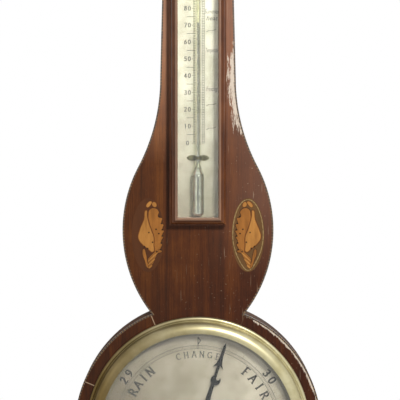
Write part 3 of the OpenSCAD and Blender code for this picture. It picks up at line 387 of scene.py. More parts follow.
side = band(tree, x, *SIDE_X)
# The right side's pinkish tint is painted sheen from the lamp there; the left is tinted gold.
side_tint_and_sheen = add(tree, "Mix", data_type="RGBA", I0=side, I6="#FFF6DE", I7="#F2DCE0").outputs[2]
# Painted shade: the veneer is darker low down, as if less lit from above.
low_shade = add(tree, "Mix", data_type="RGBA", I0=band(tree, z, *LOW_SHADE_Z), I6="#CFC6B8", I7="#FFFFFF").outputs[2]
tinted = grain_colour
for tone in (side_tint_and_sheen, low_shade):
    tinted = add(tree, "Mix", data_type="RGBA", blend_type="MULTIPLY", I0=1.0, I6=tinted, I7=tone).outputs[2]
# Painted sheen and light from above: the neck is brightened and paled, most on the left.
left = add(tree, "MapRange", I0=side, I3=1.0, I4=NECK_SHEEN_RIGHT).outputs[0]
low = add(tree, "MapRange", I0=band(tree, z, *NECK_SHEEN_ENDS_Z), I3=1.0, I4=NECK_SHEEN_TOP).outputs[0]
neck_sheen = product(tree, band(tree, z, *NECK_SHEEN_Z), left, low)
gain = add(tree, "MapRange", I0=neck_sheen, I3=1.0, I4=NECK_SHEEN_GAIN).outputs[0]
tinted = add(tree, "VectorMath", operation="SCALE", I0=tinted, Scale=gain).outputs[0]
neck_sheen_cover = product(tree, neck_sheen, NECK_SHEEN_COVER)
# Painted sheen: a pinkish patch right of the box, below the neck.
right_sheen = product(tree, band(tree, x, *RIGHT_SHEEN_X), band(tree, z, *RIGHT_SHEEN_Z), RIGHT_SHEEN_SHARE)
slope = add(tree, "Mapping", Vector=local, Rotation=(0, SCRATCH_SLANT, 0), Scale=stretched("Z", SCRATCH_LONG))
lines = add(tree, "TexNoise", Vector=slope.outputs[0], Scale=per_mm(SCRATCH_WIDE), Detail=1).outputs[0]
specks = add(tree, "TexNoise", Vector=local, Scale=per_mm(CHIP_WIDE), Detail=2).outputs[0]
scratches = add(tree, "MapRange", I0=lines, I1=0.7, I2=0.74).outputs[0]
chips = add(tree, "MapRange", I0=specks, I1=0.68, I2=0.72).outputs[0]
scratch_glints = add(tree, "Math", operation="MAXIMUM", I0=scratches, I1=chips).outputs[0]
# The scratches and chips are kept to the right only and painted pale, as glints of the grazing light.
scratch_glints = product(tree, scratch_glints, side, GLINT_SHARE)
for share, colour in (
    (neck_sheen_cover, "#C09A80"), (right_sheen, "#8A6654"), (scratch_glints, "#B39A80"), (joints, "#C4A98A"), (bare, "#DCCDBA"),
):
    tinted = add(tree, "Mix", data_type="RGBA", I0=share, I6=tinted, I7=colour).outputs[2]
tree.links.new(tinted, veneer_shader.inputs["Base Color"])
print("front veneer aged")

# %% [markdown]
# The mouldings' highest bead is painted pale as a highlight where it catches the
# lamp, and the box's inner edge pale as rubbed wear and a painted highlight.
# How far forward a point stands tells the bead, and its distance from the middle
# of the case tells the inner edge.

# %% Painted highlights and wear on the mouldings
BEAD_Y, BEAD_HIGHLIGHT_SHARE = (-43.5, -43.9), 0.2
INNER_X, INNER_LOW, INNER_HIGH, INNER_WEAR_AND_HIGHLIGHT_SHARE = (20.4, 20.1), (210, 213), (510, 508), 0.5

for material in (moulding, cross_moulding):
    tree = material.node_tree
    place = add(tree, "TexCoord").outputs["Object"]
    x, y, z = add(tree, "SeparateXYZ", Vector=place).outputs
    z = add(tree, "Math", operation="SUBTRACT", I0=z, I1=DIAL_Z).outputs[0]
    off_middle = add(tree, "Math", operation="ABSOLUTE", I0=x).outputs[0]
    # Painted highlight along the front-most bead.
    bead_highlight = product(tree, band(tree, y, *BEAD_Y), BEAD_HIGHLIGHT_SHARE)
    # The box's inner edge: rubbed wear and a painted highlight.
    inner = product(tree, band(tree, off_middle, *INNER_X), band(tree, z, *INNER_LOW),
                    band(tree, z, *INNER_HIGH), INNER_WEAR_AND_HIGHLIGHT_SHARE)
    wear_and_highlight = add(tree, "Math", operation="MAXIMUM", I0=bead_highlight, I1=inner).outputs[0]
    socket = tree.nodes["Principled BSDF"].inputs["Base Color"]
    pale = add(tree, "Mix", data_type="RGBA", I0=wear_and_highlight, I6=socket.links[0].from_socket, I7="#D8BFA6")
    tree.links.new(pale.outputs[2], socket)
print("mouldings rubbed")

# %% [markdown]
# The case's edge is strung with a chequered line: squares of box and of black
# stained wood, glued up as a strip and bent into a rebate. The squares run along
# the edge, so their count follows the angle round the dial and the height above
# it. Two centuries of handling have dulled the box to the colour of the case.

# %% Chequered stringing
CHECK_PITCH = 3
NEAR_RIM = 1.5
CHECK_BLACK, CHECK_WHITE = 0.42, 0.52  # shares of the pitch where black ends and white begins
WEAR_WIDE = 9

stringing, tree, shader = start("chequered_stringing", Roughness=0.5)
place = add(tree, "TexCoord").outputs["Object"]
axes = add(tree, "SeparateXYZ", Vector=place)
above = add(tree, "Math", operation="SUBTRACT", I0=axes.outputs[2], I1=DIAL_Z).outputs[0]
angle = add(tree, "Math", operation="ARCTAN2", I0=axes.outputs[0], I1=above).outputs[0]
round_dial = product(tree, angle, RIM_R * MM)
from_centre = add(tree, "VectorMath", operation="DISTANCE", I0=place, I1=(0, WOOD_FACE, DIAL_Z))
on_dial = add(tree, "Math", operation="LESS_THAN", I0=from_centre.outputs["Value"], I1=(RIM_R + NEAR_RIM) * MM)
run = add(tree, "Mix", data_type="FLOAT", I0=on_dial.outputs[0], I2=above, I3=round_dial)
count = add(tree, "Math", operation="DIVIDE", I0=run.outputs[0], I1=CHECK_PITCH * MM)
part = add(tree, "Math", operation="FRACT", I0=count.outputs[0])
check = add(tree, "MapRange", I0=part.outputs[0], I1=CHECK_BLACK, I2=CHECK_WHITE)
wear = add(tree, "TexNoise", Vector=place, Scale=per_mm(WEAR_WIDE), Detail=3)
worn = add(tree, "MapRange", I0=wear.outputs[0], I1=0.35, I2=0.65, I3=0.25, I4=1.0)
light = product(tree, check.outputs[0], worn.outputs[0])
tint = add(tree, "ValToRGB", Fac=light, stops=[(0.0, "#2A1B10"), (1.0, "#7E6240")])
tree.links.new(tint.outputs[0], shader.inputs["Base Color"])
dress(stringing, "edge_stringing")
print("edge strung in squares of", CHECK_PITCH / 2, "mm")

# %% [markdown]
# Old brass is a yellow metal under thin lacquer that has mellowed. A metal keeps
# its colour in the reflection, so Metallic is 1 and the colour is the metal's
# own. Clouds of tarnish darken it and dull its shine together. The silvering of
# the dial and the scale was rubbed on as a paste and is dull as frost, so most of
# it is left matt, which a lower Metallic gives.


# %% Metals
DULLER = 0.12


def metal(name, colour, stain, rough, spots=14, matt=0.0):
    """A metal, tarnished in clouds some millimetres wide. The matt part scatters light as chalk does."""
    material, tree, shader = start(name, Metallic=1.0 - matt)
    place = add(tree, "TexCoord").outputs["Object"]
    clouds = add(tree, "TexNoise", Vector=place, Scale=per_mm(spots), Detail=5, Roughness=0.6)
    tint = add(tree, "ValToRGB", Fac=clouds.outputs[0], stops=[(0.35, stain), (0.6, colour)])
    shine = add(tree, "MapRange", I0=clouds.outputs[0], I1=0.3, I2=0.7, I3=rough + DULLER, I4=rough)
    tree.links.new(tint.outputs[0], shader.inputs["Base Color"])
    tree.links.new(shine.outputs[0], shader.inputs["Roughness"])
    return material


brass = metal("lacquered_brass", "#BFB07A", "#9A8750", 0.3)
bezel_brass = metal("turned_brass_bezel", "#CBC39E", "#B0A67C", 0.3, spots=30, matt=0.2)
# The clip is given a dark olive brass colour.
clip_brass = metal("dark_olive_brass_clip", "#5A563A", "#37341F", 0.45, spots=4)
silvered = metal("silvered_brass_dial", "#ADA493", "#958B78", 0.42, spots=45, matt=0.85)
scale_silver = metal("silvered_brass_scale", "#B6B2A2", "#A39E8E", 0.5, spots=20, matt=0.5)
steel = metal("blued_steel", "#191914", "#0B0B09", 0.4)
quicksilver = metal("mercury", "#ECEDEE", "#D8DADC", 0.03, spots=8)

dress(brass, "finial", "hanging_plate", "back_screws", "front_screws", "dial_bush", "bridge",
      "bridge_pillars", "bezel_hinge_plate", "hinge_pins", "case_hinge_leaves", "hook_pins",
      "glass_ring", "bezel_hinge_strap", "bezel_catch", "set_hand", "set_hand_spindle",
      "set_hand_knob", "hand_collet", "pulley", "door_hinge_leaves", "turn_button",
      "scale_screws", "box_hooks")
dress(bezel_brass, "bezel_ring")
dress(clip_brass, "tube_clips")
dress(silvered, "dial_plate")
dress(scale_silver, "scale_plate")
dress(steel, "hand", "arbor", "bridge_screws")
dress(quicksilver, "mercury_column", "lower_mercury", "upper_mercury", "thermometer_mercury")
print("metals dressed")

# %% [markdown]
# The dial and its bezel are painted darker at the left, away from the lamp, and
# the scale at its foot, as painted shade, so each metal's colour is multiplied by
# one that fades out along an axis.
# A dark ring round the dial's edge is painted shade, where the bezel's lip shades
# the dial.

# %% Painted shade on the dial, bezel and scale
X_AXIS, Z_AXIS = 0, 2
DIAL_SHADE_FADES, BEZEL_SHADE_FADES = (-95, 70), (-95, 40)
SCALE_SHADE_FADES = (DIAL_Z / MM + 215, DIAL_Z / MM + 340)
BEZEL_SHADE_R, BEZEL_SHADE_SHARE = (92.2, 93.6), 0.75

# Painted shade: the dial and bezel darker on the left, away from the lamp, and the scale at its foot.
for material, axis, shade_fades, shadiest in (
    (silvered, X_AXIS, DIAL_SHADE_FADES, "#A59D8F"), (bezel_brass, X_AXIS, BEZEL_SHADE_FADES, "#8C7A5A"),
    (scale_silver, Z_AXIS, SCALE_SHADE_FADES, "#C9C5BD"),
):
    tree = material.node_tree
    along = add(tree, "SeparateXYZ", Vector=add(tree, "TexCoord").outputs["Object"]).outputs[axis]
    lit_share = band(tree, along, *shade_fades)
    side_shade = add(tree, "Mix", data_type="RGBA", I0=lit_share, I6=shadiest, I7="#FFFFFF").outputs[2]
    socket = tree.nodes["Principled BSDF"].inputs["Base Color"]
    side_shaded = add(tree, "Mix", data_type="RGBA", blend_type="MULTIPLY", I0=1.0,
                I6=socket.links[0].from_socket, I7=side_shade)
    tree.links.new(side_shaded.outputs[2], socket)

# Painted shade under the bezel's lip: a dark ring round the dial's edge.
tree = silvered.node_tree
place = add(tree, "TexCoord").outputs["Object"]
outward = add(tree, "VectorMath", operation="DISTANCE", I0=place, I1=(0, DIAL_FACE, DIAL_Z)).outputs["Value"]
bezel_shade = product(tree, band(tree, outward, *BEZEL_SHADE_R), BEZEL_SHADE_SHARE)
socket = tree.nodes["Principled BSDF"].inputs["Base Color"]
under_bezel = add(tree, "Mix", data_type="RGBA", I0=bezel_shade, I6=socket.links[0].from_socket, I7="#5F573F")
tree.links.new(under_bezel.outputs[2], socket)
print("dial, bezel and scale tarnished")

# %% [markdown]
# Clear glass bends and mirrors light. A renderer finds lamps through glass only
# by chance, so rays that look for a lamp pass straight through here, and what
# lies behind the glass is lit as it would be.


# %% Glass, cork and silk
WAVE_WIDE, CRUMB_WIDE = 12, 1.6
# Real silk is twisted too finely to show. The wave texture repeats after 0.63 of
# its size, so a size of 16 mm draws a coarse twist of 10 mm.
TWIST_SIZE = 16


def glass(name, tint, streak):
    """Faintly streaky glass that lets the lamps' light through to what it covers."""
    material, tree, shader = start(name, tint, Transmission_Weight=1.0, Roughness=0.0, IOR=1.5)
    place = add(tree, "TexCoord").outputs["Object"]
    waves = add(tree, "TexNoise", Vector=place, Scale=per_mm(WAVE_WIDE), Detail=2)
    tone = add(tree, "ValToRGB", Fac=waves.outputs[0], stops=[(0.35, streak), (0.6, tint)])
    tree.links.new(tone.outputs[0], shader.inputs["Base Color"])
    rays = add(tree, "LightPath")
    clear = add(tree, "BsdfTransparent", Color=tone.outputs[0])
    mixed = add(tree, "MixShader", Fac=rays.outputs["Is Shadow Ray"],
                I1=shader.outputs[0], I2=clear.outputs[0])
    tree.links.new(mixed.outputs[0], tree.nodes["Material Output"].inputs["Surface"])
    return material


window_glass = glass("old_window_glass", "#FDFEFC", "#F6F8F4")
tube_glass = glass("drawn_glass_tube", "#F5F6EA", "#EDEEDA")
weight_glass = glass("dark_bottle_glass", "#6E7F74", "#55665A")
dress(window_glass, "bezel_glass", "box_glass")
dress(tube_glass, "siphon_tube", "thermometer_tube")
dress(weight_glass, "float_weight", "counterweight")

cork, tree, shader = start("cork", Roughness=0.9)
place = add(tree, "TexCoord").outputs["Object"]
crumbs = add(tree, "TexVoronoi", Vector=place, Scale=per_mm(CRUMB_WIDE))
tint = add(tree, "ValToRGB", Fac=crumbs.outputs[0], stops=[(0.1, "#B58B5A"), (0.7, "#7E5A34")])
tree.links.new(tint.outputs[0], shader.inputs["Base Color"])
dress(cork, "tube_corks")

silk, tree, shader = start("twisted_silk", Roughness=0.7, Sheen_Weight=0.3)
place = add(tree, "TexCoord").outputs["Object"]
twist = add(tree, "TexWave", Vector=place, bands_direction="DIAGONAL", Scale=per_mm(TWIST_SIZE))
tint = add(tree, "ValToRGB", Fac=twist.outputs[1], stops=[(0.2, "#B9B08E"), (0.8, "#E4DCC0")])
tree.links.new(tint.outputs[0], shader.inputs["Base Color"])
dress(silk, "float_thread", "counterweight_thread")
print("glass, cork and silk dressed")

# %% [markdown]
# The dial and the scale were cut by hand with a graver, and the cuts filled with
# black wax before the brass was silvered. A graver, like a broad pen, cuts wide
# going down and thin going across. So a letter here is a few strokes of one nib
# held at one slant: the nib is a thin box, and each step of a stroke is the hull
# of the nib at the step's two ends. Curved strokes are arcs of an ellipse.


# %% Letters as strokes of a nib
def arc(x, z, wide, high, begin, end, steps=9):
    """Points along an ellipse, with angles in degrees, counter-clockwise from the right."""
    turn = [radians(begin + (end - begin) * i / steps) for i in range(steps + 1)]
    return [(x + wide * cos(a), z + high * sin(a)) for a in turn]


# Each letter is its width and its strokes, where the letter's height is 1.
LETTERS = {
    "A": (0.74, [[(0.04, 0), (0.37, 1)], [(0.37, 1), (0.7, 0)], [(0.16, 0.36), (0.58, 0.36)]]),
    "C": (0.74, [arc(0.42, 0.5, 0.36, 0.5, 45, 315)]),
    "D": (0.76, [[(0.12, 0), (0.12, 1)], arc(0.26, 0.5, 0.44, 0.5, 90, -90), [(0, 1), (0.28, 1)],
                 [(0, 0), (0.28, 0)]]),
    "E": (0.6, [[(0.12, 0), (0.12, 1)], [(0, 1), (0.54, 1)], [(0.12, 0.5), (0.44, 0.5)],
                [(0, 0), (0.56, 0)]]),
    "F": (0.56, [[(0.12, 0), (0.12, 1)], [(0, 1), (0.54, 1)], [(0.12, 0.5), (0.42, 0.5)],
                 [(0, 0), (0.24, 0)]]),
    "G": (0.8, [arc(0.42, 0.5, 0.36, 0.5, 45, 330), [(0.7, 0.02), (0.7, 0.42)], [(0.56, 0.42), (0.8, 0.42)]]),
    "H": (0.78, [[(0.12, 0), (0.12, 1)], [(0.66, 0), (0.66, 1)], [(0.12, 0.5), (0.66, 0.5)]]),
    "I": (0.3, [[(0.14, 0), (0.14, 1)]]),
    "M": (0.9, [[(0.1, 0), (0.14, 1)], [(0.14, 1), (0.45, 0.1)], [(0.45, 0.1), (0.76, 1)],
                [(0.76, 1), (0.8, 0)]]),
    "N": (0.8, [[(0.1, 0), (0.1, 1)], [(0.1, 1), (0.68, 0)], [(0.68, 0), (0.68, 1)]]),
    "O": (0.8, [arc(0.4, 0.5, 0.36, 0.5, 0, 360, 16)]),
    "R": (0.7, [[(0.12, 0), (0.12, 1)], [(0.12, 1), (0.3, 1)], arc(0.3, 0.75, 0.24, 0.25, 90, -90),
                [(0.12, 0.5), (0.3, 0.5)], [(0.34, 0.5), (0.68, 0)]]),
    "S": (0.54, [arc(0.27, 0.75, 0.2, 0.25, 30, 270) + arc(0.27, 0.25, 0.22, 0.25, 90, -150)]),
    "T": (0.64, [[(0.32, 0), (0.32, 1)], [(0.02, 1), (0.62, 1)]]),
    "U": (0.76, [[(0.12, 1), (0.12, 0.36)] + arc(0.38, 0.36, 0.26, 0.36, 180, 360) + [(0.64, 1)]]),
    "V": (0.72, [[(0.04, 1), (0.36, 0)], [(0.36, 0), (0.68, 1)]]),
    "Y": (0.68, [[(0.04, 1), (0.34, 0.48)], [(0.64, 1), (0.34, 0.48)], [(0.34, 0.48), (0.34, 0)]]),
    "0": (0.62, [arc(0.3, 0.5, 0.25, 0.5, 0, 360, 14)]),
    "1": (0.36, [[(0.18, 0), (0.18, 1)], [(0.18, 1), (0.04, 0.84)]]),
    "2": (0.6, [arc(0.28, 0.72, 0.22, 0.28, 165, -40) + [(0.06, 0.02)], [(0.06, 0.02), (0.54, 0.02)]]),
    "3": (0.58, [arc(0.26, 0.76, 0.2, 0.24, 150, -90) + arc(0.26, 0.27, 0.24, 0.27, 90, -150)]),
    "4": (0.62, [[(0.42, 0), (0.42, 1)], [(0.42, 1), (0.04, 0.3)], [(0.04, 0.3), (0.58, 0.3)]]),
    "5": (0.58, [[(0.5, 1), (0.14, 1)], [(0.14, 1), (0.1, 0.55)], arc(0.26, 0.32, 0.24, 0.32, 130, -150)]),
    "6": (0.6, [arc(0.3, 0.3, 0.22, 0.3, 0, 360, 12), [(0.08, 0.36), (0.14, 0.72), (0.42, 1)]]),
    "7": (0.56, [[(0.04, 1), (0.52, 1)], [(0.52, 1), (0.2, 0)]]),
    "8": (0.58, [arc(0.28, 0.76, 0.19, 0.24, 0, 360, 12), arc(0.28, 0.27, 0.23, 0.27, 0, 360, 12)]),
    "9": (0.6, [arc(0.28, 0.7, 0.22, 0.3, 0, 360, 12), [(0.5, 0.64), (0.46, 0.28), (0.16, 0)]]),
}
SERIF, HAIR = 0.11, 0.5  # half a serif in letter heights, and a thin stroke's share of a wide one
PROUD = 0.05


def stroke(shape, points, where, nib, hair, slant=radians(14)):
    """Sweeps a nib along points, which are millimetres on the plane that `where` places."""
    half = [(-nib / 2, -hair / 2), (nib / 2, -hair / 2), (nib / 2, hair / 2), (-nib / 2, hair / 2)]
    turned = [(a * cos(slant) - b * sin(slant), a * sin(slant) + b * cos(slant)) for a, b in half]
    for here, there in zip(points, points[1:]):
        corners = [
            shape.verts.new(where @ (Vector((end[0] + a, depth, end[1] + b)) * MM))
            for end in (here, there) for a, b in turned for depth in (0, -PROUD)
        ]
        hull = bmesh.ops.convex_hull(shape, input=corners)
        left_over = set(hull["geom_interior"] + hull["geom_unused"])
        inner = [g for g in left_over if isinstance(g, bmesh.types.BMVert)]
        bmesh.ops.delete(shape, geom=inner, context="VERTS")


def letter(shape, sign, height, where, weight=0.15):
    """One letter, centred on `where`, with serifs at the ends of its straight strokes."""
    width, strokes = LETTERS[sign]
    nib, hair = height * weight, height * weight * HAIR
    for points in strokes:
        own = [((x - width / 2) * height, (z - 0.5) * height) for x, z in points]
        stroke(shape, own, where, nib, hair)
        if sign.isalpha() and len(points) == 2 and abs(points[0][1] - points[1][1]) > 0.4:
            for x, z in own:
                if abs(abs(z) - height / 2) < 0.01 * height:
                    stroke(shape, [(x - SERIF * height, z), (x + SERIF * height, z)], where, hair, hair)


def word(shape, text, height, where, pitch, weight):
    """A word set level, with its letters a pitch apart, in letter heights."""
    for i, sign in enumerate(text):
        shift = Matrix.Translation(((i - (len(text) - 1) / 2) * pitch * height * MM, 0, 0))
        letter(shape, sign, height, where @ shift, weight)


print(len(LETTERS), "letters and figures")

# %% [markdown]
# The dial reads inches of mercury. Each inch takes 108 degrees, so that a
# hundredth is a little over one degree, and 29.5 stands at the top. Letters stand
# with their feet toward the centre. The words are the usual weather words.

# %% Dial engraving
INCH = 108
TOP_READING, HUNDREDTHS_EACH_WAY = 29.5, 150
SWEEP = HUNDREDTHS_EACH_WAY * INCH / 100
TICK_IN, TICK_OUT, TENTH_MORE, TWENTIETH_MORE = 80, 83.2, 2.2, 1.2
WEATHER = {  # the middle of each word and the step from letter to letter, in degrees
    "STORMY": (-160, 5.4), "MUCH RAIN": (-106, 5.2), "RAIN": (-50.3, 6.9), "CHANGE": (0, 6.1),
    "FAIR": (51.7, 7.8), "SET FAIR": (107, 5.4), "VERY DRY": (159, 4.8),
}
BOLD = ("RAIN", "FAIR")
WORD_R, BOLD_LETTER, PLAIN_LETTER = 74.5, (8.4, 0.19), (6.0, 0.14)  # height and weight
FIGURE_R, FIGURE_HEIGHT, FIGURE_WEIGHT, FIGURE_STEP = 88.5, 7.8, 0.22, 5.8
TOP_FLAG = [(0, TICK_IN), (0, 91.5), (2.6, 88), (0, 84.5)]

wax, tree, shader = start("black_engravers_wax", Roughness=0.6)
place = add(tree, "TexCoord").outputs["Object"]
thin = add(tree, "TexNoise", Vector=place, Scale=per_mm(4), Detail=3)
tint = add(tree, "ValToRGB", Fac=thin.outputs[0], stops=[(0.35, "#14120F"), (0.7, "#3A352B")])
tree.links.new(tint.outputs[0], shader.inputs["Base Color"])
dial_centre = Matrix.Translation((0, DIAL_FACE, DIAL_Z))


def on_ring(radius, degrees):
    """A place on the dial, turned so that its feet are toward the centre."""
    return dial_centre @ Matrix.Rotation(radians(degrees), 4, "Y") @ Matrix.Translation((0, 0, radius * MM))


shape = bmesh.new()
for text, (middle, step) in WEATHER.items():
    height, weight = BOLD_LETTER if text in BOLD else PLAIN_LETTER
    for i, sign in enumerate(text):
        degrees = middle + (i - (len(text) - 1) / 2) * step
        if sign != " ":
            letter(shape, sign, height, on_ring(WORD_R, degrees), weight)
for inch in (28, 29, 30, 31):
    for sign, side in zip(str(inch), (-0.5, 0.5)):
        degrees = (inch - TOP_READING) * INCH + side * FIGURE_STEP
        letter(shape, sign, FIGURE_HEIGHT, on_ring(FIGURE_R, degrees), FIGURE_WEIGHT)
stroke(shape, TOP_FLAG, on_ring(0, 0), nib=0.8, hair=0.6, slant=0)
piece("dial_lettering", shape, wax, "case")

shape = bmesh.new()
for tick in range(-HUNDREDTHS_EACH_WAY, HUNDREDTHS_EACH_WAY + 1):
    reach = TICK_OUT + (TENTH_MORE if tick % 10 == 0 else TWENTIETH_MORE if tick % 5 == 0 else 0)
    stroke(shape, [(0, TICK_IN), (0, reach)], on_ring(0, tick * INCH / 100), nib=0.22, hair=0.22, slant=0)
for radius in (TICK_IN, TICK_OUT):
    ring = arc(0, 0, radius, radius, 90 - SWEEP, 90 + SWEEP, 216)
    stroke(shape, ring, dial_centre, nib=0.25, hair=0.25, slant=0)
piece("dial_divisions", shape, wax, "case")
print("dial engraved")

# %% [markdown]
# The thermometer's scale is Fahrenheit, from freezing mixtures to fever. It is
# divided on both sides of the tube, numbered on the left, and named on the
# right with the usual few words in italics.

# %% Thermometer engraving
DEGREE = 1.68
ZERO_ABOVE_DIAL = 285.6
TOP_DEGREES = 120
LEFT_RULES, RIGHT_RULES = (-4.3, -1.9), (4.1, 6.6)
FIVE_X, TEN_X, NUMERAL_X, NUMERAL_HEIGHT = -11, -6, -10.5, 4.2
LABELS = {98: "Blood heat", 76: "Summer heat", 55: "Temperate", 32: "Freezing"}
LABEL_X, LABEL_HEIGHT, LINES_APART, NARROW = 13.4, 6.4, 4, 0.68
FLOURISH, FLOURISH_AT = [(8.5, 0), (11, 1.6), (15, 1.2), (17.5, 2.6)], (8, 22, 66, 88)


def on_scale(x, degrees):
    """A place on the scale plate."""
    return Matrix.Translation((x * MM, SCALE_FACE, DIAL_Z + (ZERO_ABOVE_DIAL + degrees * DEGREE) * MM))


shape = bmesh.new()
for degrees in range(0, TOP_DEGREES + 1):
    for inner, outer in (LEFT_RULES, RIGHT_RULES):
        stroke(shape, [(inner, 0), (outer, 0)], on_scale(0, degrees), nib=0.55, hair=0.55, slant=0)
    if degrees % 10 == 5:
        stroke(shape, [(FIVE_X, 0), (LEFT_RULES[0], 0)], on_scale(0, degrees), nib=0.5, hair=0.5, slant=0)
    elif degrees % 10 == 0:
        stroke(shape, [(TEN_X, 0), (LEFT_RULES[0], 0)], on_scale(0, degrees), nib=0.4, hair=0.4, slant=0)
        word(shape, str(degrees), NUMERAL_HEIGHT, on_scale(NUMERAL_X, degrees), pitch=0.92, weight=0.19)
for x in LEFT_RULES + RIGHT_RULES:
    stroke(shape, [(x, 0), (x, TOP_DEGREES * DEGREE)], on_scale(0, 0), nib=0.25, hair=0.25, slant=0)
piece("scale_divisions", shape, wax, "thermometer_box")


def flat_shape(curve, where):
    """A filled flat curve as a bmesh, stood up to face the front at a place."""
    flat = bpy.data.objects.new(curve.name, curve)
    scene.collection.objects.link(flat)
    mesh = bpy.data.meshes.new_from_object(flat.evaluated_get(bpy.context.evaluated_depsgraph_get()))
    bpy.data.objects.remove(flat)
    shape = bmesh.new()
    shape.from_mesh(mesh)
    bmesh.ops.remove_doubles(shape, verts=shape.verts, dist=1e-6)
    bmesh.ops.transform(shape, verts=shape.verts, matrix=where @ Matrix.Rotation(pi / 2, 4, "X"))
    return shape


def italic(text, height, where):
    """A small sloping label in Blender's own lettering, made into a mesh."""
    curve = bpy.data.curves.new(text, "FONT")
    curve.body = text
    curve.size = height * MM
    curve.shear = 0.35
    curve.align_x = "CENTER"
    curve.align_y = "CENTER"
    curve.extrude = PROUD / 2 * MM
    curve.offset = 0.02 * MM
    curve.resolution_u = 2
    narrow = Matrix.Diagonal((min(1, NARROW * 6 / len(text)), 1, 1, 1))
    return flat_shape(curve, where @ Matrix.Translation((0, -PROUD / 2 * MM, 0)) @ narrow)


for degrees, text in LABELS.items():
    lines = text.split()
    for i, line in enumerate(lines):
        lift = ((len(lines) - 1) / 2 - i) * LINES_APART
        shape = italic(line, LABEL_HEIGHT, on_scale(LABEL_X, degrees + lift))
        piece(f"label_{line.lower()}_{degrees}", shape, wax, "thermometer_box")
shape = bmesh.new()
for degrees in FLOURISH_AT:
    stroke(shape, FLOURISH, on_scale(0, degrees), nib=0.7, hair=0.25, slant=0)
piece("scale_flourishes", shape, wax, "thermometer_box")
print("scale engraved")

# %% [markdown]
# The shells are marquetry: a whelk cut from box and maple, with its edges dipped
# in hot sand so that they scorch and look round. An outline was cut with a fret
# saw, so it is a closed smooth curve through a few points. A rim is inset in it,
# and how scorched each point is, from 0 to 1, is kept on the points themselves.

# %% Shell inlays
SHELL_X, SHELL_Z, LEFT_IN = 50, 193.6, 3

SPINDLE = [(4.7, 25.5), (7.8, 15.6), (11.9, 5.4), (13.5, -2.6), (9.9, -9.2), (4.4, -13.6),
           (-2.2, -17.6), (-3.4, -9), (-3.2, -0.9), (-1.1, 4.7), (1.2, 11.3), (2.9, 18.4)]
LIP = [(-3.5, 27.5), (-8.5, 23.2), (-7.6, 18.6), (-11.6, 17), (-11, 12.4), (-13, 10.4), (-12, 6.4),
       (-13.4, 3.6), (-12, 0.6), (-12.8, -2.4), (-10.8, -6), (-11.9, -10), (-10.2, -13.4),
       (-11.4, -17), (-7.9, -18.4), (-4.5, -18.6), (-2, -12), (-1.5, 0), (2, 8), (3.2, 20), (1.6, 25.8)]
COILS = [[(-4.8, 27.6), (-5.6, 31.5), (-2.4, 33.4), (-0.8, 30)],
         [(0, 29.8), (-1, 33.6), (2.6, 33.2), (4.6, 27.6)]]
TAIL_TOP, TAIL_FOOT = (-5.5, -19.5), (1.2, -34)
TAIL_STRIPES, TAIL_TILT, TAIL_LEAN, TAIL_HALF, FOOT_HALF, STRIPE_HALF = 6, -0.75, 3, 8, 1.6, 1.2
LEAF = [(7.4, -13.6), (9, -18), (6.8, -25), (2.2, -33.2), (3.4, -26), (4.6, -19)]
DOTS = [(-5.1, 5.7), (-7.9, 1.4), (2.1, 2.5), (-1.6, -7.2), (-5.9, -16.7), (-8.2, 18.3), (-10.4, 11.6),
        (-11.2, 5.2), (-11.2, -1), (-10.2, -8), (-9.6, -14.6), (6.4, -11.6), (3.2, -13.4)]
DOT_R, DOT_NIB = 0.4, 0.6
OVAL_WIDE, OVAL_HIGH, OVAL_PINCH, OVAL_LINE = 15.3, 35.5, 0.35, 0.7
PATERA_R, PETALS, PETAL_HALF, EYE_R = 11.5, 8, 2.5, 2.2
PATERAE = {"upper": 600, "lower": -136}
RIM_OF = {"lip": 0.9, "body": 1.3, "coil": 0.7, "tail": 0.4, "leaf": 0.7, "petal": 1.4, "eye": 0.8}


def marquetry(name, ground, scorched, fleck=5):
    """A thin veneer of pale wood, scorched where the points say so."""
    material, tree, shader = start(name, **POLISH)
    place = add(tree, "TexCoord").outputs["Object"]
    grain = add(tree, "Mapping", Vector=place, Scale=(1, 1, 0.2)).outputs[0]
    cloud = add(tree, "TexNoise", Vector=grain, Scale=per_mm(fleck), Detail=4)
    burnt = add(tree, "Attribute", attribute_name="scorch")
    shade = add(tree, "Math", operation="MULTIPLY_ADD", I0=cloud.outputs[0], I1=0.9, I2=burnt.outputs["Fac"])
    tint = add(tree, "ValToRGB", Fac=shade.outputs[0], stops=[(0.35, ground), (1.0, scorched)])
    tree.links.new(tint.outputs[0], shader.inputs["Base Color"])
    return material


golden = marquetry("sand_shaded_boxwood", "#BC8240", "#5E3214")
amber = marquetry("sand_shaded_maple", "#A46A30", "#3C1E0C")
pale_line = marquetry("holly_line", "#A58A5C", "#7C6238", fleck=3)
dark_ground = marquetry("mahogany_inlay_ground", "#553017", "#3A2010", fleck=8)
green_ground = marquetry("green_stained_inlay_ground", "#6C4C2A", "#4A331A", fleck=8)
dress(dark_ground, "left_shell_inlay")
dress(green_ground, "right_shell_inlay", "flower_inlays")


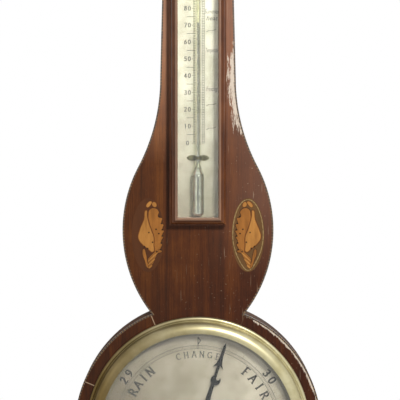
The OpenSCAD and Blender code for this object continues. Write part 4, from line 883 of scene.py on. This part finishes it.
def fret(name, kind, outline, where, layer, material, side=1):
    """A flat inlaid piece through an outline's points. Side -1 mirrors it."""
    curve = bpy.data.curves.new(name, "CURVE")
    curve.dimensions = "2D"
    curve.fill_mode = "FRONT"
    curve.resolution_u = 5
    line = curve.splines.new("BEZIER")
    line.bezier_points.add(len(outline) - 1)
    line.use_cyclic_u = True
    for point, (x, z) in zip(line.bezier_points, outline):
        point.co = (side * x * MM, z * MM, 0)
        point.handle_left_type = point.handle_right_type = "AUTO"
    shape = flat_shape(curve, where @ Matrix.Translation((0, -layer * PROUD * MM, 0)))
    scorch = shape.verts.layers.float.new("scorch")
    rings = bmesh.ops.inset_region(shape, faces=shape.faces[:], thickness=RIM_OF[kind] * MM, use_boundary=True)
    outer = {vert for face in rings["faces"] for vert in face.verts if vert.is_boundary}
    for vert in shape.verts:
        vert[scorch] = 1 if vert in outer else 0
    front = bmesh.ops.extrude_face_region(shape, geom=shape.faces[:], use_keep_orig=True)
    moved = [g for g in front["geom"] if isinstance(g, bmesh.types.BMVert)]
    bmesh.ops.translate(shape, verts=moved, vec=(0, -PROUD * MM, 0))
    piece(name, shape, material, "case")


def ellipse(x, z, wide, high, count=8, tilt=0):
    """An ellipse's points, for an outline."""
    points = arc(0, 0, wide, high, 0, 360, count)[:-1]
    return [(x + a * cos(tilt) - b * sin(tilt), z + a * sin(tilt) + b * cos(tilt)) for a, b in points]


for side, hand, middle in ((-1, "left", -SHELL_X + LEFT_IN), (1, "right", SHELL_X)):
    centre = Matrix.Translation((middle * MM, WOOD_FACE, DIAL_Z + SHELL_Z * MM))
    fret(f"{hand}_shell_lip", "lip", LIP, centre, 0, amber, side)
    fret(f"{hand}_shell_body", "body", SPINDLE, centre, 1, golden, side)
    for i, coil in enumerate(COILS):
        fret(f"{hand}_shell_coil_{i}", "coil", coil, centre, 1, golden, side)
    for i in range(TAIL_STRIPES):
        t = i / TAIL_STRIPES
        x = TAIL_TOP[0] + (TAIL_FOOT[0] - TAIL_TOP[0]) * t
        z = TAIL_TOP[1] + (TAIL_FOOT[1] - TAIL_TOP[1]) * t
        half = TAIL_HALF + (FOOT_HALF - TAIL_HALF) * t
        stripe = ellipse(x + TAIL_LEAN * (1 - t), z, half, STRIPE_HALF, tilt=TAIL_TILT)
        veneer_cut = golden if i % 2 else amber
        fret(f"{hand}_shell_tail_{i}", "tail", stripe, centre, 1 + i % 2, veneer_cut, side)
    fret(f"{hand}_shell_leaf", "leaf", LEAF, centre, 0, amber, side)
    on_top = centre @ Matrix.Translation((0, -2 * PROUD * MM, 0))
    for i, (x, z) in enumerate(DOTS):
        shape = bmesh.new()
        stroke(shape, ellipse(side * x, z, DOT_R, DOT_R), on_top, DOT_NIB, DOT_NIB)
        piece(f"{hand}_shell_dot_{i}", shape, wax, "case")

# A thin pale line frames the right oval, which comes to a point at its foot
oval = [(x * (1 - OVAL_PINCH * min(0, z / OVAL_HIGH) ** 2), z)
        for x, z in ellipse(0, 0, OVAL_WIDE, OVAL_HIGH, 40)]
shape = bmesh.new()
stroke(shape, oval + oval[:1], centre, OVAL_LINE, OVAL_LINE)
piece("right_shell_border", shape, pale_line, "case")

for name, z in PATERAE.items():
    centre = Matrix.Translation((0, WOOD_FACE, DIAL_Z + z * MM))
    for i in range(PETALS):
        petal = Matrix.Rotation(i * 2 * pi / PETALS, 4, "Y")
        outline = ellipse(0, PATERA_R * 0.56, PETAL_HALF, PATERA_R * 0.42)
        fret(f"{name}_patera_petal_{i}", "petal", outline, centre @ petal, 0, golden)
    fret(f"{name}_patera_eye", "eye", ellipse(0, 0, EYE_R, EYE_R), centre, 1, amber)
print("shells and paterae inlaid")
